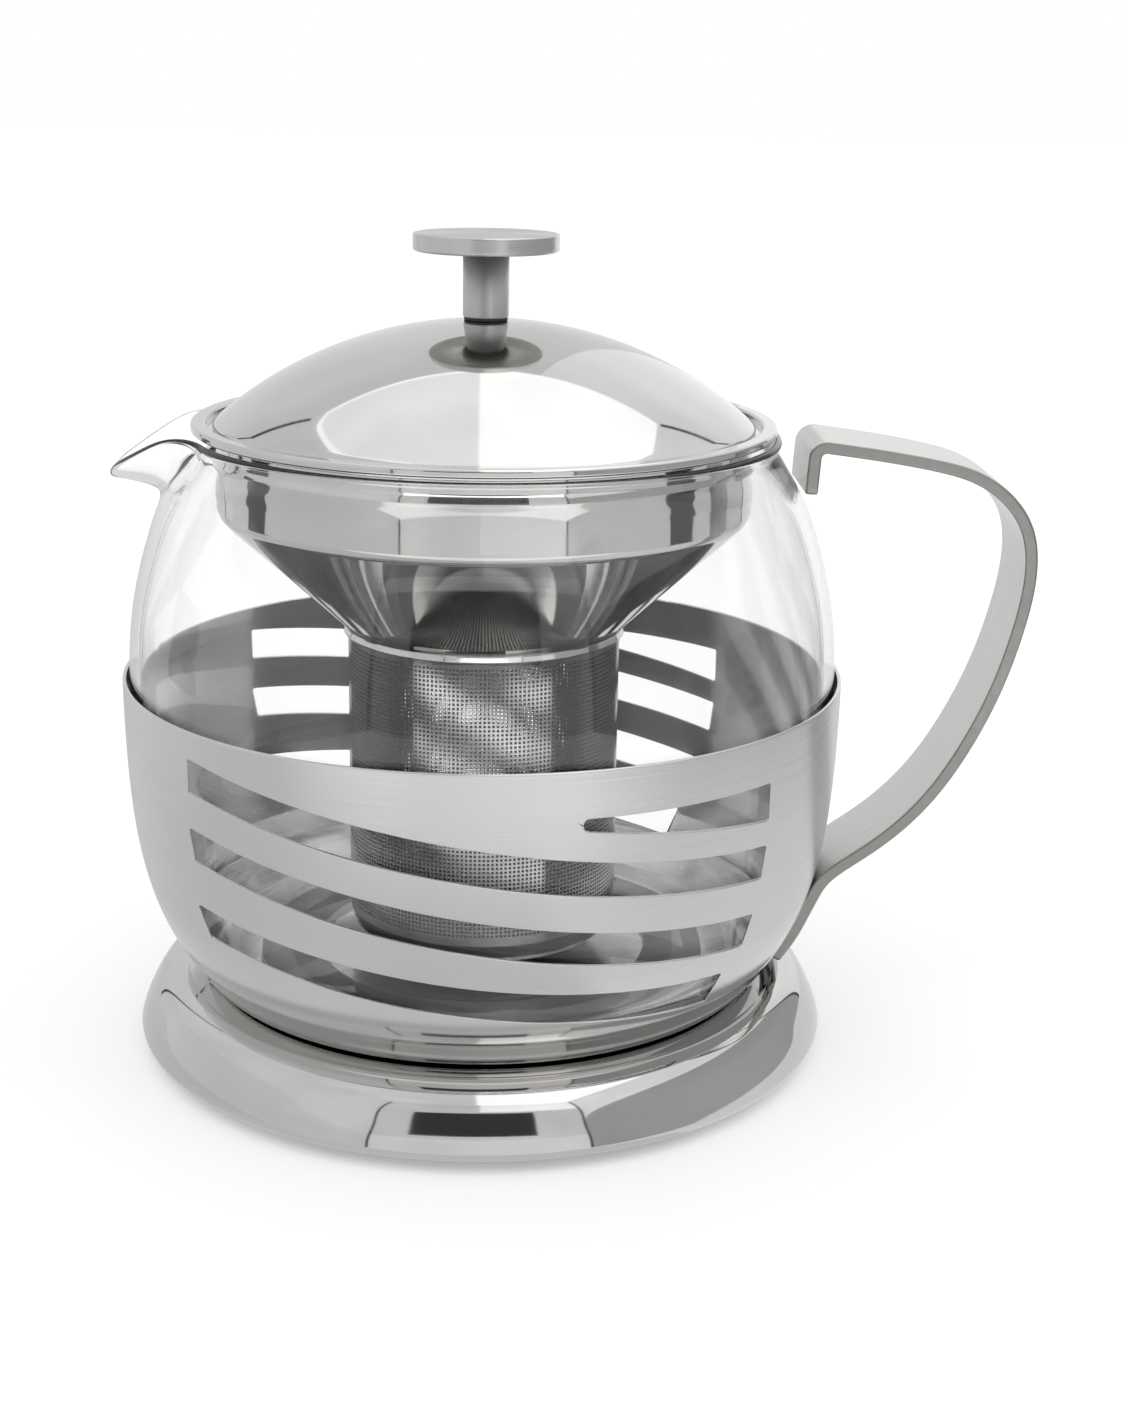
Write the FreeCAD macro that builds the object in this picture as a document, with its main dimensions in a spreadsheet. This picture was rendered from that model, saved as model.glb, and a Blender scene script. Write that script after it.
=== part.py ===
"""Glass teapot with a slotted steel casing, a lift-out infuser, a lid and a round coaster.

Frame: +Z up, +X towards the handle, -X towards the spout, origin on the pot's axis
at the underside of the coaster. All sizes are in millimetres.
"""

import FreeCAD, Part
import Sketcher
import math
import os

os.makedirs("parts", exist_ok=True)
doc = FreeCAD.newDocument("teapot_infuser")
V = FreeCAD.Vector

# ---------------------------------------------------------------- driving sizes
SIZES = {
    # coaster
    "coaster_radius": 71.0,
    "coaster_height": 15.8,
    "coaster_seat": 15.0,
    "coaster_wall": 1.0,
    "pad_radius": 62.5,
    "pad_thick": 2.6,
    # steel casing
    "casing_rim_radius": 72.2,
    "casing_foot_radius": 56.6,
    "casing_height": 62.5,
    "casing_wall": 0.8,
    "slot_width": 6.6,
    "slot_pitch": 13.65,
    "slot_drop": 8.1,
    # glass
    "glass_gap": 0.6,
    "glass_wall": 2.0,
    "glass_floor": 2.4,
    "glass_mouth": 58.4,
    "mouth_height": 126.1,
    "cushion_thick": 1.2,
    "spout_reach": 73.9,
    # handle strap
    "strap_width": 22.0,
    "strap_thick": 2.5,
    "handle_reach": 109.1,
    # infuser
    "rim_radius": 57.4,
    "rim_lip": 127.8,
    "collar_radius": 53.0,
    "collar_bottom": 111.0,
    "tube_radius": 27.4,
    "tube_top": 86.8,
    "tube_bottom": 22.5,
    "sheet": 0.6,
    # lid and knob
    "lid_radius": 53.2,
    "lid_top": 147.1,
    "lid_wall": 0.8,
    "skirt_radius": 50.8,
    "skirt_depth": 11.0,
    "stem_radius": 4.5,
    "disc_radius": 14.2,
    "disc_top": 163.6,
    "disc_thick": 3.4,
    "screw_radius": 2.0,
}

sheet = doc.addObject("Spreadsheet::Sheet", "Sizes")
for row, (word, number) in enumerate(SIZES.items(), start=1):
    sheet.set("A%d" % row, word)
    sheet.set("B%d" % row, str(number))
    sheet.setAlias("B%d" % row, word)
doc.recompute()


class Size:
    """A number that remembers the spreadsheet expression it came from."""

    def __init__(self, number, text):
        self.number, self.text = float(number), text

    def _join(self, other, sign, number):
        other_text = other.text if isinstance(other, Size) else repr(float(other))
        return Size(number, "(%s %s %s)" % (self.text, sign, other_text))

    def __add__(self, other):
        return self._join(other, "+", self.number + value(other))

    def __sub__(self, other):
        return self._join(other, "-", self.number - value(other))

    def __mul__(self, other):
        return self._join(other, "*", self.number * value(other))

    def __neg__(self):
        return Size(-self.number, "(0 - %s)" % self.text)


def value(size):
    return size.number if isinstance(size, Size) else float(size)


def size(word):
    return Size(SIZES[word], "Sizes." + word)


coaster_radius, coaster_height = size("coaster_radius"), size("coaster_height")
coaster_seat, coaster_wall = size("coaster_seat"), size("coaster_wall")
pad_radius, pad_thick = size("pad_radius"), size("pad_thick")
casing_rim_radius, casing_foot_radius = size("casing_rim_radius"), size("casing_foot_radius")
casing_height, casing_wall = size("casing_height"), size("casing_wall")
slot_width, slot_pitch, slot_drop = size("slot_width"), size("slot_pitch"), size("slot_drop")
glass_gap, glass_wall, glass_floor = size("glass_gap"), size("glass_wall"), size("glass_floor")
glass_mouth, mouth_height = size("glass_mouth"), size("mouth_height")
cushion_thick, spout_reach = size("cushion_thick"), size("spout_reach")
strap_width, strap_thick, handle_reach = size("strap_width"), size("strap_thick"), size("handle_reach")
rim_radius, rim_lip = size("rim_radius"), size("rim_lip")
collar_radius, collar_bottom = size("collar_radius"), size("collar_bottom")
tube_radius, tube_top, tube_bottom = size("tube_radius"), size("tube_top"), size("tube_bottom")
sheet_thick = size("sheet")
lid_radius, lid_top, lid_wall = size("lid_radius"), size("lid_top"), size("lid_wall")
skirt_radius, skirt_depth = size("skirt_radius"), size("skirt_depth")
stem_radius, disc_radius = size("stem_radius"), size("disc_radius")
disc_top, disc_thick, screw_radius = size("disc_top"), size("disc_thick"), size("screw_radius")

casing_rim = coaster_seat + casing_height


# ---------------------------------------------------------------- sketch helpers
def new_body(label):
    body = doc.addObject("PartDesign::Body", label)
    body.Label = label
    body.Placement = FreeCAD.Placement(V(0, 0, 0), FreeCAD.Rotation())
    return body


def origin_plane(body, name):
    for feature in body.Origin.OriginFeatures:
        if name in feature.Name:
            return feature
    raise ValueError(name)


def new_sketch(body, plane, name, offset=0.0):
    sketch = body.newObject("Sketcher::SketchObject", name)
    sketch.AttachmentSupport = (origin_plane(body, plane), [""])
    sketch.MapMode = "FlatFace"
    sketch.AttachmentOffset = FreeCAD.Placement(V(0, 0, value(offset)), FreeCAD.Rotation())
    return sketch


def tie(sketch, index, end, point):
    """Binds one end of a sketch edge to the spreadsheet, in both directions."""
    for kind, along in (("DistanceX", point[0]), ("DistanceY", point[1])):
        if abs(value(along)) < 1e-9:
            target = (-2, 1) if kind == "DistanceX" else (-1, 1)
            sketch.addConstraint(Sketcher.Constraint("PointOnObject", index, end, target[0]))
            continue
        number = sketch.addConstraint(Sketcher.Constraint(kind, -1, 1, index, end, value(along)))
        if isinstance(along, Size):
            sketch.setExpression("Constraints[%d]" % number, along.text)


def draw(sketch, outline):
    """Draws a closed outline. Each entry is a corner, or a list of points on the way to the
    next corner: one point makes a round arc, and more make a smooth curve."""
    corners = [entry for entry in outline if isinstance(entry, tuple)]
    edges = []
    here = corners[0]
    path = list(outline[1:]) + [corners[0]]
    between = []
    for entry in path:
        if isinstance(entry, list):
            between = entry
            continue
        start = V(value(here[0]), value(here[1]), 0)
        end = V(value(entry[0]), value(entry[1]), 0)
        points = [start] + [V(value(x), value(y), 0) for x, y in between] + [end]
        first_end, last_end = 1, 2
        if len(points) == 3:
            curve = Part.Arc(*points)
            turn = (points[1] - start).cross(end - points[1])
            if turn.z < 0:
                first_end, last_end = 2, 1
        elif between:
            curve = Part.BSplineCurve()
            curve.interpolate(points)
        else:
            curve = Part.LineSegment(start, end)
        edges.append((sketch.addGeometry(curve, False), first_end, last_end, here))
        here, between = entry, []
    for edge, following in zip(edges, edges[1:] + edges[:1]):
        sketch.addConstraint(Sketcher.Constraint("Coincident", edge[0], edge[2], following[0], following[1]))
    for index, first_end, _, corner in edges:
        tie(sketch, index, first_end, corner)


def spin(body, name, outline, cut=False):
    """Turns an outline in the XZ plane round the pot's axis."""
    sketch = new_sketch(body, "XZ_Plane", name + "_outline")
    draw(sketch, outline)
    kind = "PartDesign::Groove" if cut else "PartDesign::Revolution"
    feature = body.newObject(kind, name)
    feature.Profile = sketch
    feature.ReferenceAxis = (sketch, ["V_Axis"])
    feature.Angle = 360.0
    doc.recompute()
    return feature


def loft(body, name, sections, cut=False):
    kind = "PartDesign::SubtractiveLoft" if cut else "PartDesign::AdditiveLoft"
    feature = body.newObject(kind, name)
    feature.Profile = sections[0]
    feature.Sections = sections[1:]
    feature.Ruled = False
    doc.recompute()
    return feature


# ---------------------------------------------------------------- wall curves
def casing_radius(height):
    """Outer radius of the casing at a height above its foot: nearly upright at the rim,
    then drawn in faster and faster towards the foot."""
    share = 1.0 - value(height) / SIZES["casing_height"]
    drawn_in = SIZES["casing_rim_radius"] - SIZES["casing_foot_radius"]
    return SIZES["casing_rim_radius"] - drawn_in * (0.30 * share**2 + 0.70 * share**4.5)


def casing_curve(inset, low, high, steps=7):
    """Points up the casing's wall between two heights above its foot, moved in by inset."""
    points = []
    for step in range(1, steps):
        height = low + (high - low) * step / steps
        points.append((casing_radius(height) - value(inset), SIZES["coaster_seat"] + height))
    return points


# ---------------------------------------------------------------- coaster
coaster = new_body("coaster")
seat_edge = coaster_radius - 10.0
spin(coaster, "coaster_skin", [
    (0, coaster_seat),
    (seat_edge, coaster_seat),
    (seat_edge + 0.9, coaster_height - 0.5),
    [(seat_edge + 3.2, coaster_height - 1.3), (coaster_radius - 4.5, coaster_height - 2.9),
     (coaster_radius - 2.2, coaster_height - 6.4), (coaster_radius - 0.7, coaster_height - 9.6)],
    (coaster_radius, coaster_height - 11.8),
    [(coaster_radius - 0.5, coaster_height - 12.9)],
    (coaster_radius - 1.6, coaster_height - 13.3),
    (coaster_radius - 2.6, coaster_height - 13.3),
    (coaster_radius - 2.6, coaster_height - 11.0),
    (coaster_radius - 6.2, coaster_height - 4.6),
    (seat_edge - 1.0, coaster_seat - coaster_wall),
    (0, coaster_seat - coaster_wall),
])

pad = new_body("coaster_pad")
spin(pad, "pad_disc", [(0, 0), (pad_radius, 0), (pad_radius + 4.6, pad_thick), (0, pad_thick)])
spin(pad, "pad_post", [
    (20.0, pad_thick), (24.0, pad_thick), (24.0, coaster_seat - coaster_wall), (20.0, coaster_seat - coaster_wall),
])

# ---------------------------------------------------------------- casing
casing = new_body("casing")
tall = SIZES["casing_height"]
inner_foot = casing_foot_radius - casing_wall
spin(casing, "casing_shell", [
    (0, coaster_seat),
    (casing_foot_radius - 1.6, coaster_seat),
    [(casing_foot_radius - 0.35, coaster_seat + 0.45)] + casing_curve(0, 2.0, tall, 7),
    (casing_rim_radius, casing_rim),
    (casing_rim_radius - casing_wall, casing_rim),
    list(reversed(casing_curve(casing_wall, 2.4, tall, 7))),
    (inner_foot - 1.0, coaster_seat + casing_wall),
    (0, coaster_seat + casing_wall),
])


def slot_outline(middle, drop, width, left, right, left_lean, right_lean):
    """Corners and sagging edges of one slanted slot, seen square to the handle's plane."""
    half = width * 0.5
    sag = 1.0

    def edge(share, side):
        level = middle + drop * (0.5 - share) * 2.0
        along = left + (right - left) * share
        return along, level + side - sag * (1.0 - (2.0 * share - 1.0) ** 2)

    top = [edge(share, half) for share in (0.0, 0.25, 0.5, 0.75, 1.0)]
    bottom = [edge(share, -half) for share in (1.0, 0.75, 0.5, 0.25, 0.0)]
    bottom[0] = (bottom[0][0] - right_lean, bottom[0][1])
    bottom[-1] = (bottom[-1][0] + left_lean, bottom[-1][1])
    return [top[0], top[1:4], top[4], bottom[0], bottom[1:4], bottom[4]]


def cut_through(body, name, outline):
    before = body.Shape.Volume
    sketch = new_sketch(body, "XZ_Plane", name + "_outline")
    draw(sketch, outline)
    pocket = body.newObject("PartDesign::Pocket", name)
    pocket.Profile = sketch
    pocket.Midplane = True
    pocket.Type = "Length"
    pocket.Length = 200.0
    pocket.setExpression("Length", "Sizes.casing_rim_radius * 2.8")
    doc.recompute()
    assert body.Shape.Volume < before - 1.0, name
    return pocket


first_slot = SIZES["coaster_seat"] + 45.95
SLOT_ENDS = {
    # name: slot number, half drop, left end, right end, left lean, right lean
    "slot_high": (0, 0.0, -53.7, 53.1, 0.1, 0.8),
    "slot_middle": (1, 0.1, -53.8, 51.1, 1.1, 1.9),
    "slot_low": (2, -1.9, -52.8, 45.6, 2.4, 3.0),
}
for name, (number, more_drop, left, right, left_lean, right_lean) in SLOT_ENDS.items():
    level = first_slot - SIZES["slot_pitch"] * number
    cut_through(casing, name, slot_outline(
        level, SIZES["slot_drop"] + more_drop, SIZES["slot_width"], left, right, left_lean, right_lean))

wedge_top = first_slot + 7.6
wedge_right = 53.3
cut_through(casing, "slot_wedge", [
    (19.6, wedge_top),
    (wedge_right, wedge_top),
    (wedge_right, wedge_top - 7.4),
    (19.4, wedge_top - 2.4),
    [(18.2, wedge_top - 1.1)],
])

# ---------------------------------------------------------------- glass
cushion = new_body("glass_cushion")
casing_floor = coaster_seat + casing_wall
spin(cushion, "cushion_ring", [
    (34.0, casing_floor), (46.0, casing_floor),
    (46.0, casing_floor + cushion_thick), (34.0, casing_floor + cushion_thick),
])

glass = new_body("glass_pot")
inset = casing_wall + glass_gap
glass_bottom = casing_floor + cushion_thick
belly = casing_rim_radius - inset
neck_height = SIZES["mouth_height"] - 3.4


def glass_outside(move, start, steps=4):
    """Points up the glass from inside the casing, over the round belly and in to the neck,
    moved in by move."""
    points = casing_curve(inset + move, start, tall, steps)
    low = SIZES["coaster_seat"] + tall
    high = SIZES["mouth_height"] - 12.2
    ball = 84.0
    for share in (0.0, 0.25, 0.5, 0.75, 1.0):
        level = low + (high - low) * share
        drawn_in = ball - math.sqrt(ball**2 - (level - low) ** 2)
        points.append((value(belly) - drawn_in * 0.95 - value(move), level))
    points.append((SIZES["glass_mouth"] + 1.95 - value(move), SIZES["mouth_height"] - 8.0))
    points.append((SIZES["glass_mouth"] + 0.25 - value(move), SIZES["mouth_height"] - 5.0))
    return points


spin(glass, "glass_outside", [
    (0, glass_bottom),
    (casing_foot_radius - 9.0, glass_bottom),
    [(casing_foot_radius - 2.6, glass_bottom + 1.5), (casing_foot_radius + 0.9, glass_bottom + 4.4)]
    + glass_outside(0, 8.0),
    (glass_mouth - 0.45, mouth_height - 2.7),
    [(glass_mouth, mouth_height - 1.3)],
    (glass_mouth - 0.9, mouth_height),
    (0, mouth_height),
])


def lip_sections(tag, inside):
    """Half-moon sections of the pouring lip, from within the neck to its tip. The inside
    ones are smaller, open upwards, and stop short of the tip."""
    wall = 1.7 if inside else 0.0
    low_line = SIZES["mouth_height"] - 11.5
    found = []
    for number, reach_share in enumerate((0.0, 0.30, 0.57, 0.80, 1.0)):
        root = 53.0
        tip = SIZES["spout_reach"] - (1.3 if inside else 0.0)
        reach = root + (tip - root) * reach_share
        over = max(0.0, reach - 57.5) / 16.1
        half = 22.5 - 20.0 * reach_share**1.15 - wall
        top = SIZES["mouth_height"] - 9.5 * over**1.45 + (2.5 if inside else 0.0)
        low = low_line - 5.5 * (1.0 - reach_share) ** 2 + 0.4 * reach_share + wall
        if inside:
            half = max(half, 1.1)
            half += 0.15 * 2.5
        if number == 0:
            reach -= 4.0
        sketch = new_sketch(glass, "YZ_Plane", "lip_%s_%d" % (tag, number), -reach)
        left, bottom, right = V(-half, top, 0), V(0, low, 0), V(half, top, 0)
        arc = sketch.addGeometry(Part.Arc(left, bottom, right), False)
        lid_line = sketch.addGeometry(Part.LineSegment(right, left), False)
        sketch.addConstraint(Sketcher.Constraint("Coincident", lid_line, 1, arc, 2))
        sketch.addConstraint(Sketcher.Constraint("Coincident", lid_line, 2, arc, 1))
        found.append(sketch)
    doc.recompute()
    return found


before_lip = glass.Shape.Volume
loft(glass, "pouring_lip", lip_sections("outside", False))
assert glass.Shape.Volume > before_lip, "lip added nothing"
before_hollow = glass.Shape.Volume
spin(glass, "glass_inside", [
    (0, mouth_height + 4.0),
    (glass_mouth - 2.0, mouth_height + 4.0),
    (glass_mouth - 2.0, mouth_height),
    [(glass_mouth - 2.75, mouth_height - 1.3)],
    (glass_mouth - 2.45, mouth_height - 2.7),
    list(reversed(glass_outside(glass_wall, 9.0)))
    + [(casing_foot_radius - 1.6, glass_bottom + 5.2)],
    (casing_foot_radius - 10.0, glass_bottom + glass_floor),
    (0, glass_bottom + glass_floor),
], cut=True)
assert glass.Shape.Volume < before_hollow - 1.0, "glass not hollowed"
before_channel = glass.Shape.Volume
loft(glass, "pouring_channel", lip_sections("inside", True), cut=True)
assert glass.Shape.Volume < before_channel - 1.0, "channel cut nothing"
spin(glass, "mouth_level", [
    (0, mouth_height), (spout_reach + 4.0, mouth_height),
    (spout_reach + 4.0, mouth_height + 8.0), (0, mouth_height + 8.0),
], cut=True)

# ---------------------------------------------------------------- handle strap
handle = new_body("handle")
strap = new_sketch(handle, "XZ_Plane", "strap_outline")


def strap_run(points, thickness):
    """The strap's outer face through the points, and its inner face a thickness inside."""
    curve = Part.BSplineCurve()
    curve.interpolate([V(x, y, 0) for x, y in points])
    first, last = curve.FirstParameter, curve.LastParameter
    inner = []
    for step in range(13):
        at = first + (last - first) * step / 12.0
        spot, along = curve.value(at), curve.tangent(at)[0]
        inner.append((spot.x - thickness * -along.y, spot.y - thickness * along.x))
    return inner


reach = SIZES["handle_reach"]
thick = SIZES["strap_thick"]
hook_face = 62.4
bow = [
    (reach - 20.8, 122.4), (reach - 12.6, 120.0), (reach - 5.8, 115.4), (reach - 1.4, 109.0),
    (reach, 100.0), (reach - 1.6, 88.6), (reach - 5.2, 76.1), (reach - 10.6, 63.8),
    (reach - 17.9, 52.2), (reach - 26.6, 43.3), (reach - 34.6, 37.4),
]
bow_inner = strap_run(bow, thick)
foot_high, foot_low = 32.0, 17.2
hook_end = 115.3
bend_top = 126.3


def casing_at(level):
    return casing_radius(level - SIZES["coaster_seat"])


strap_path = [
    (hook_face, hook_end),
    (hook_face + 0.5, bend_top - 4.1),
    [(hook_face + 1.6, bend_top - 1.1)],
    (hook_face + 4.6, bend_top),
    bow[0],
    bow[1:-1],
    bow[-1],
    [(casing_at(34.9) + thick + 0.75, 35.1)],
    (casing_at(foot_high) + thick - 0.1, foot_high),
    [(casing_at(28.4) + thick - 0.3, 28.4), (casing_at(24.6) + thick - 0.1, 24.6),
     (casing_at(20.8) + thick + 0.2, 20.8)],
    (casing_at(foot_low) + thick + 0.4, foot_low),
    (casing_at(foot_low) - 1.0, foot_low + 1.6),
    (casing_at(24.0) - 4.0, 25.2),
    (casing_at(foot_high) - 4.0, foot_high + 1.2),
    (casing_at(foot_high + 4.5) - 1.0, foot_high + 4.5),
    bow_inner[-1],
    list(reversed(bow_inner[1:-1])),
    bow_inner[0],
    (hook_face + 5.2, bend_top - thick - 0.05),
    [(hook_face + 3.6, bend_top - 3.0)],
    (hook_face + thick + 0.45, bend_top - 4.9),
    (hook_face + thick, hook_end),
]
draw(strap, strap_path)
pad_feature = handle.newObject("PartDesign::Pad", "strap")
pad_feature.Profile = strap
pad_feature.Midplane = True
pad_feature.Length = SIZES["strap_width"]
pad_feature.setExpression("Length", "Sizes.strap_width")
doc.recompute()
before_fit = handle.Shape.Volume
weld_line = 0.03
spin(handle, "fitted_to_casing", [
    (0, coaster_seat),
    (casing_foot_radius - 1.6 + weld_line, coaster_seat),
    [(casing_foot_radius - 0.35 + weld_line, coaster_seat + 0.45)] + casing_curve(-weld_line, 2.0, tall, 7),
    (casing_rim_radius + weld_line, casing_rim),
    (0, casing_rim),
], cut=True)
assert handle.Shape.Volume < before_fit - 1.0, "strap not fitted"

# ---------------------------------------------------------------- infuser
rim = new_body("infuser_rim")
ledge = rim_lip - 1.3
under_rim = mouth_height - 0.8
rim_inside = collar_radius - sheet_thick
spin(rim, "rim_ring", [
    (rim_inside, under_rim),
    (glass_mouth - 3.5, under_rim),
    (glass_mouth - 3.5, mouth_height),
    (rim_radius, mouth_height),
    (rim_radius, rim_lip - 0.4),
    (rim_radius - 0.4, rim_lip),
    (rim_radius - 2.6, rim_lip),
    (rim_radius - 3.0, rim_lip - 0.4),
    (rim_radius - 3.0, ledge),
    (rim_inside, ledge),
])

funnel = new_body("infuser_funnel")
neck = tube_radius - sheet_thick
throat = tube_top - 1.6
cone_top = collar_bottom - 2.4
spin(funnel, "funnel_sheet", [
    (rim_inside, under_rim),
    (rim_inside, collar_bottom),
    [(rim_inside - 0.7, collar_bottom - 1.1)],
    (rim_inside - 2.6, cone_top),
    (neck + 3.2, tube_top + 3.4),
    [(neck + 0.9, tube_top + 1.4)],
    (neck, tube_top - 0.4),
    (neck, throat),
    (tube_radius + 0.5, throat),
    (tube_radius + 0.5, tube_top - 0.4),
    [(tube_radius + 1.4, tube_top + 1.2)],
    (tube_radius + 3.6, tube_top + 3.0),
    (collar_radius - 2.2, cone_top - 0.4),
    [(collar_radius - 0.25, collar_bottom - 1.3)],
    (collar_radius, collar_bottom),
    (collar_radius, under_rim),
])

mesh = new_body("infuser_mesh")
cup_top = tube_bottom + 4.6
spin(mesh, "mesh_sleeve", [
    (tube_radius - 0.4, cup_top), (tube_radius, cup_top), (tube_radius, throat), (tube_radius - 0.4, throat),
])

cup = new_body("infuser_cup")
spin(cup, "cup_sheet", [
    (0, tube_bottom),
    (tube_radius - 5.0, tube_bottom),
    [(tube_radius - 1.6, tube_bottom + 1.4)],
    (tube_radius, cup_top),
    (tube_radius - sheet_thick, cup_top),
    [(tube_radius - 2.1, tube_bottom + 1.9)],
    (tube_radius - 5.2, tube_bottom + sheet_thick),
    (0, tube_bottom + sheet_thick),
])

# ---------------------------------------------------------------- lid
lid_foot = SIZES["rim_lip"] - 1.3
dome_rise = SIZES["lid_top"] - lid_foot - 0.8
dome_ball = (SIZES["lid_radius"] ** 2 + dome_rise**2) / (2.0 * dome_rise)


def dome_height(radius, drop=0.0):
    """Height of the dome's round face at a radius, or of the face a thickness below it."""
    ball = dome_ball - drop
    return SIZES["lid_top"] - dome_ball + math.sqrt(ball**2 - value(radius) ** 2)


hole = SIZES["screw_radius"] + 0.2
flank = SIZES["lid_radius"]
wall = SIZES["lid_wall"]
dome = new_body("lid_dome")
inner_flank = flank - wall
spin(dome, "dome_shell", [
    (hole, dome_height(hole)),
    [(flank * 0.5, dome_height(flank * 0.5))],
    (flank, lid_foot + 0.8),
    (flank, lid_foot),
    (inner_flank, lid_foot),
    (inner_flank, dome_height(inner_flank, wall)),
    [(flank * 0.5, dome_height(flank * 0.5, wall))],
    (hole, dome_height(hole, wall)),
])

skirt = new_body("lid_skirt")
skirt_top = dome_height(skirt_radius, wall) - 0.2
spin(skirt, "skirt_ring", [
    (skirt_radius - lid_wall, skirt_top), (skirt_radius, skirt_top),
    (skirt_radius, lid_foot - skirt_depth.number + 1.0), (skirt_radius - 0.3, lid_foot - skirt_depth.number),
    (skirt_radius - lid_wall, lid_foot - skirt_depth.number),
])

gasket = new_body("knob_gasket")
gasket_top = lid_top + 0.5
spin(gasket, "gasket_ring", [
    (screw_radius + 0.3, lid_top), (stem_radius - 0.25, lid_top),
    (stem_radius - 0.25, gasket_top), (screw_radius + 0.3, gasket_top),
])

disc_under = disc_top - disc_thick
spigot = stem_radius - 1.6
stem = new_body("knob_stem")
spin(stem, "stem_rod", [
    (screw_radius + 0.05, gasket_top),
    (stem_radius - 0.3, gasket_top),
    (stem_radius, gasket_top + 0.3),
    (stem_radius, disc_under),
    (spigot, disc_under),
    (spigot, disc_under + 1.6),
    (0, disc_under + 1.6),
    (0, gasket_top + 7.4),
    (screw_radius + 0.05, gasket_top + 7.4),
])

disc = new_body("knob_disc")
spin(disc, "disc_plate", [
    (spigot + 0.02, disc_under),
    (disc_radius - 0.7, disc_under),
    (disc_radius, disc_under + 0.7),
    (disc_radius, disc_top - 0.3),
    (disc_radius - 0.3, disc_top),
    (0, disc_top),
    (0, disc_under + 1.62),
    (spigot + 0.02, disc_under + 1.62),
])

washer = new_body("lid_washer")
under_dome = lid_top - lid_wall - 0.35
spin(washer, "washer_ring", [
    (screw_radius + 0.2, under_dome - 1.0), (6.0, under_dome - 1.0),
    (6.0, under_dome), (screw_radius + 0.2, under_dome),
])

screw = new_body("lid_screw")
head_top = under_dome - 1.0
spin(screw, "screw_turned", [
    (0, head_top - 2.2),
    (2.9, head_top - 2.2),
    [(3.6, head_top - 1.4)],
    (3.8, head_top),
    (screw_radius, head_top),
    (screw_radius, gasket_top + 6.3),
    (screw_radius - 0.4, gasket_top + 6.7),
    (0, gasket_top + 6.7),
])
cross = new_sketch(screw, "XY_Plane", "cross_outline", head_top - 2.2)
half_bar, half_width = 1.9, 0.45
corners = []
for turn in range(4):
    angle = math.radians(90.0 * turn)
    for x, y in ((half_bar, -half_width), (half_bar, half_width), (half_width, half_width)):
        corners.append((x * math.cos(angle) - y * math.sin(angle), x * math.sin(angle) + y * math.cos(angle)))
draw(cross, corners)
recess = screw.newObject("PartDesign::Pocket", "cross_recess")
recess.Profile = cross
recess.Length = 1.2
recess.Reversed = True
before_recess = screw.Shape.Volume
doc.recompute()
assert screw.Shape.Volume < before_recess - 1.0, "recess cut nothing"

# ---------------------------------------------------------------- check and save
doc.recompute()
for thing in doc.Objects:
    bad = [word for word in thing.State if "Invalid" in word or "Error" in word]
    if bad:
        raise RuntimeError("%s: %s" % (thing.Label, bad))

BODIES = [coaster, pad, casing, glass, cushion, handle, rim, funnel, mesh, cup,
          dome, skirt, gasket, stem, disc, washer, screw]
for body in BODIES:
    shape = body.Shape
    if shape.isNull() or not shape.isValid() or len(shape.Solids) != 1:
        raise RuntimeError("%s has no single sound solid: %d" % (body.Label, len(shape.Solids)))
    shape.exportStep("parts/%s.step" % body.Label)
    print("%-16s %9.1f mm3" % (body.Label, shape.Volume))
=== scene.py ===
"""Looks of the teapot infuser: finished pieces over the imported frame, materials, studio and camera.

Sizes in the piece builders are millimetres in the shared frame; mesh data is written in metres.
"""

import math

import bmesh
import bpy
import numpy as np
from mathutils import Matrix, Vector
from mathutils.geometry import delaunay_2d_cdt


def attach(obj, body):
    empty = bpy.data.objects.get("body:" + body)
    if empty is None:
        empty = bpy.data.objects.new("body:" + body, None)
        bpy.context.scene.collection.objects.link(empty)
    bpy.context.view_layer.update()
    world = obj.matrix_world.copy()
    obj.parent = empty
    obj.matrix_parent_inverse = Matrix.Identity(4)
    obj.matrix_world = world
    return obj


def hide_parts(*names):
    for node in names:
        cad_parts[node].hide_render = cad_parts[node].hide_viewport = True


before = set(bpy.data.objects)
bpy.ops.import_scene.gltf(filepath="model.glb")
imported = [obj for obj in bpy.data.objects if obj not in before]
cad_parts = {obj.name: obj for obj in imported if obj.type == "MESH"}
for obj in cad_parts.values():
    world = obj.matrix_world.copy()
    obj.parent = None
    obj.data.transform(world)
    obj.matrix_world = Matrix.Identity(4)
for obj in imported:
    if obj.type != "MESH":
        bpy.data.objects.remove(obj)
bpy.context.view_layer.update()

MM = 0.001
ROUND = 256  # steps round the pot's axis
POLISH_BLUR = 0.07  # roughness of the casing's polished foot

# ---------------------------------------------------------------- sizes, as in the solids
COASTER_R, COASTER_H, SEAT = 71.0, 15.8, 15.0
RIM_R, FOOT_R, CASING_H, CASING_WALL = 72.2, 56.6, 62.5, 0.8
CASING_RIM = SEAT + CASING_H
SLOT_WIDTH, SLOT_PITCH, SLOT_DROP = 6.6, 13.65, 8.1
FIRST_SLOT = SEAT + 45.95
MOUTH_R, MOUTH, SPOUT = 58.4, 126.1, 73.9
LIP_ROOT, LIP_HALF, LIP_NARROWS = 53.0, 22.5, 20.0  # where the lip starts, its half width and its loss
LIP_BEND, LIP_RUN, LIP_DROP = 57.5, 16.1, 9.5  # its edge drops from here along this run
LIP_KEEL, LIP_SWEEP = 11.5, 5.5  # its underside below the mouth at the tip, and how much more at the root
LIP_FULL, LIP_FADE, LIP_TURN = 15.5, 8.0, 30  # degrees: all lip, blend into the neck, fine steps
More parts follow.
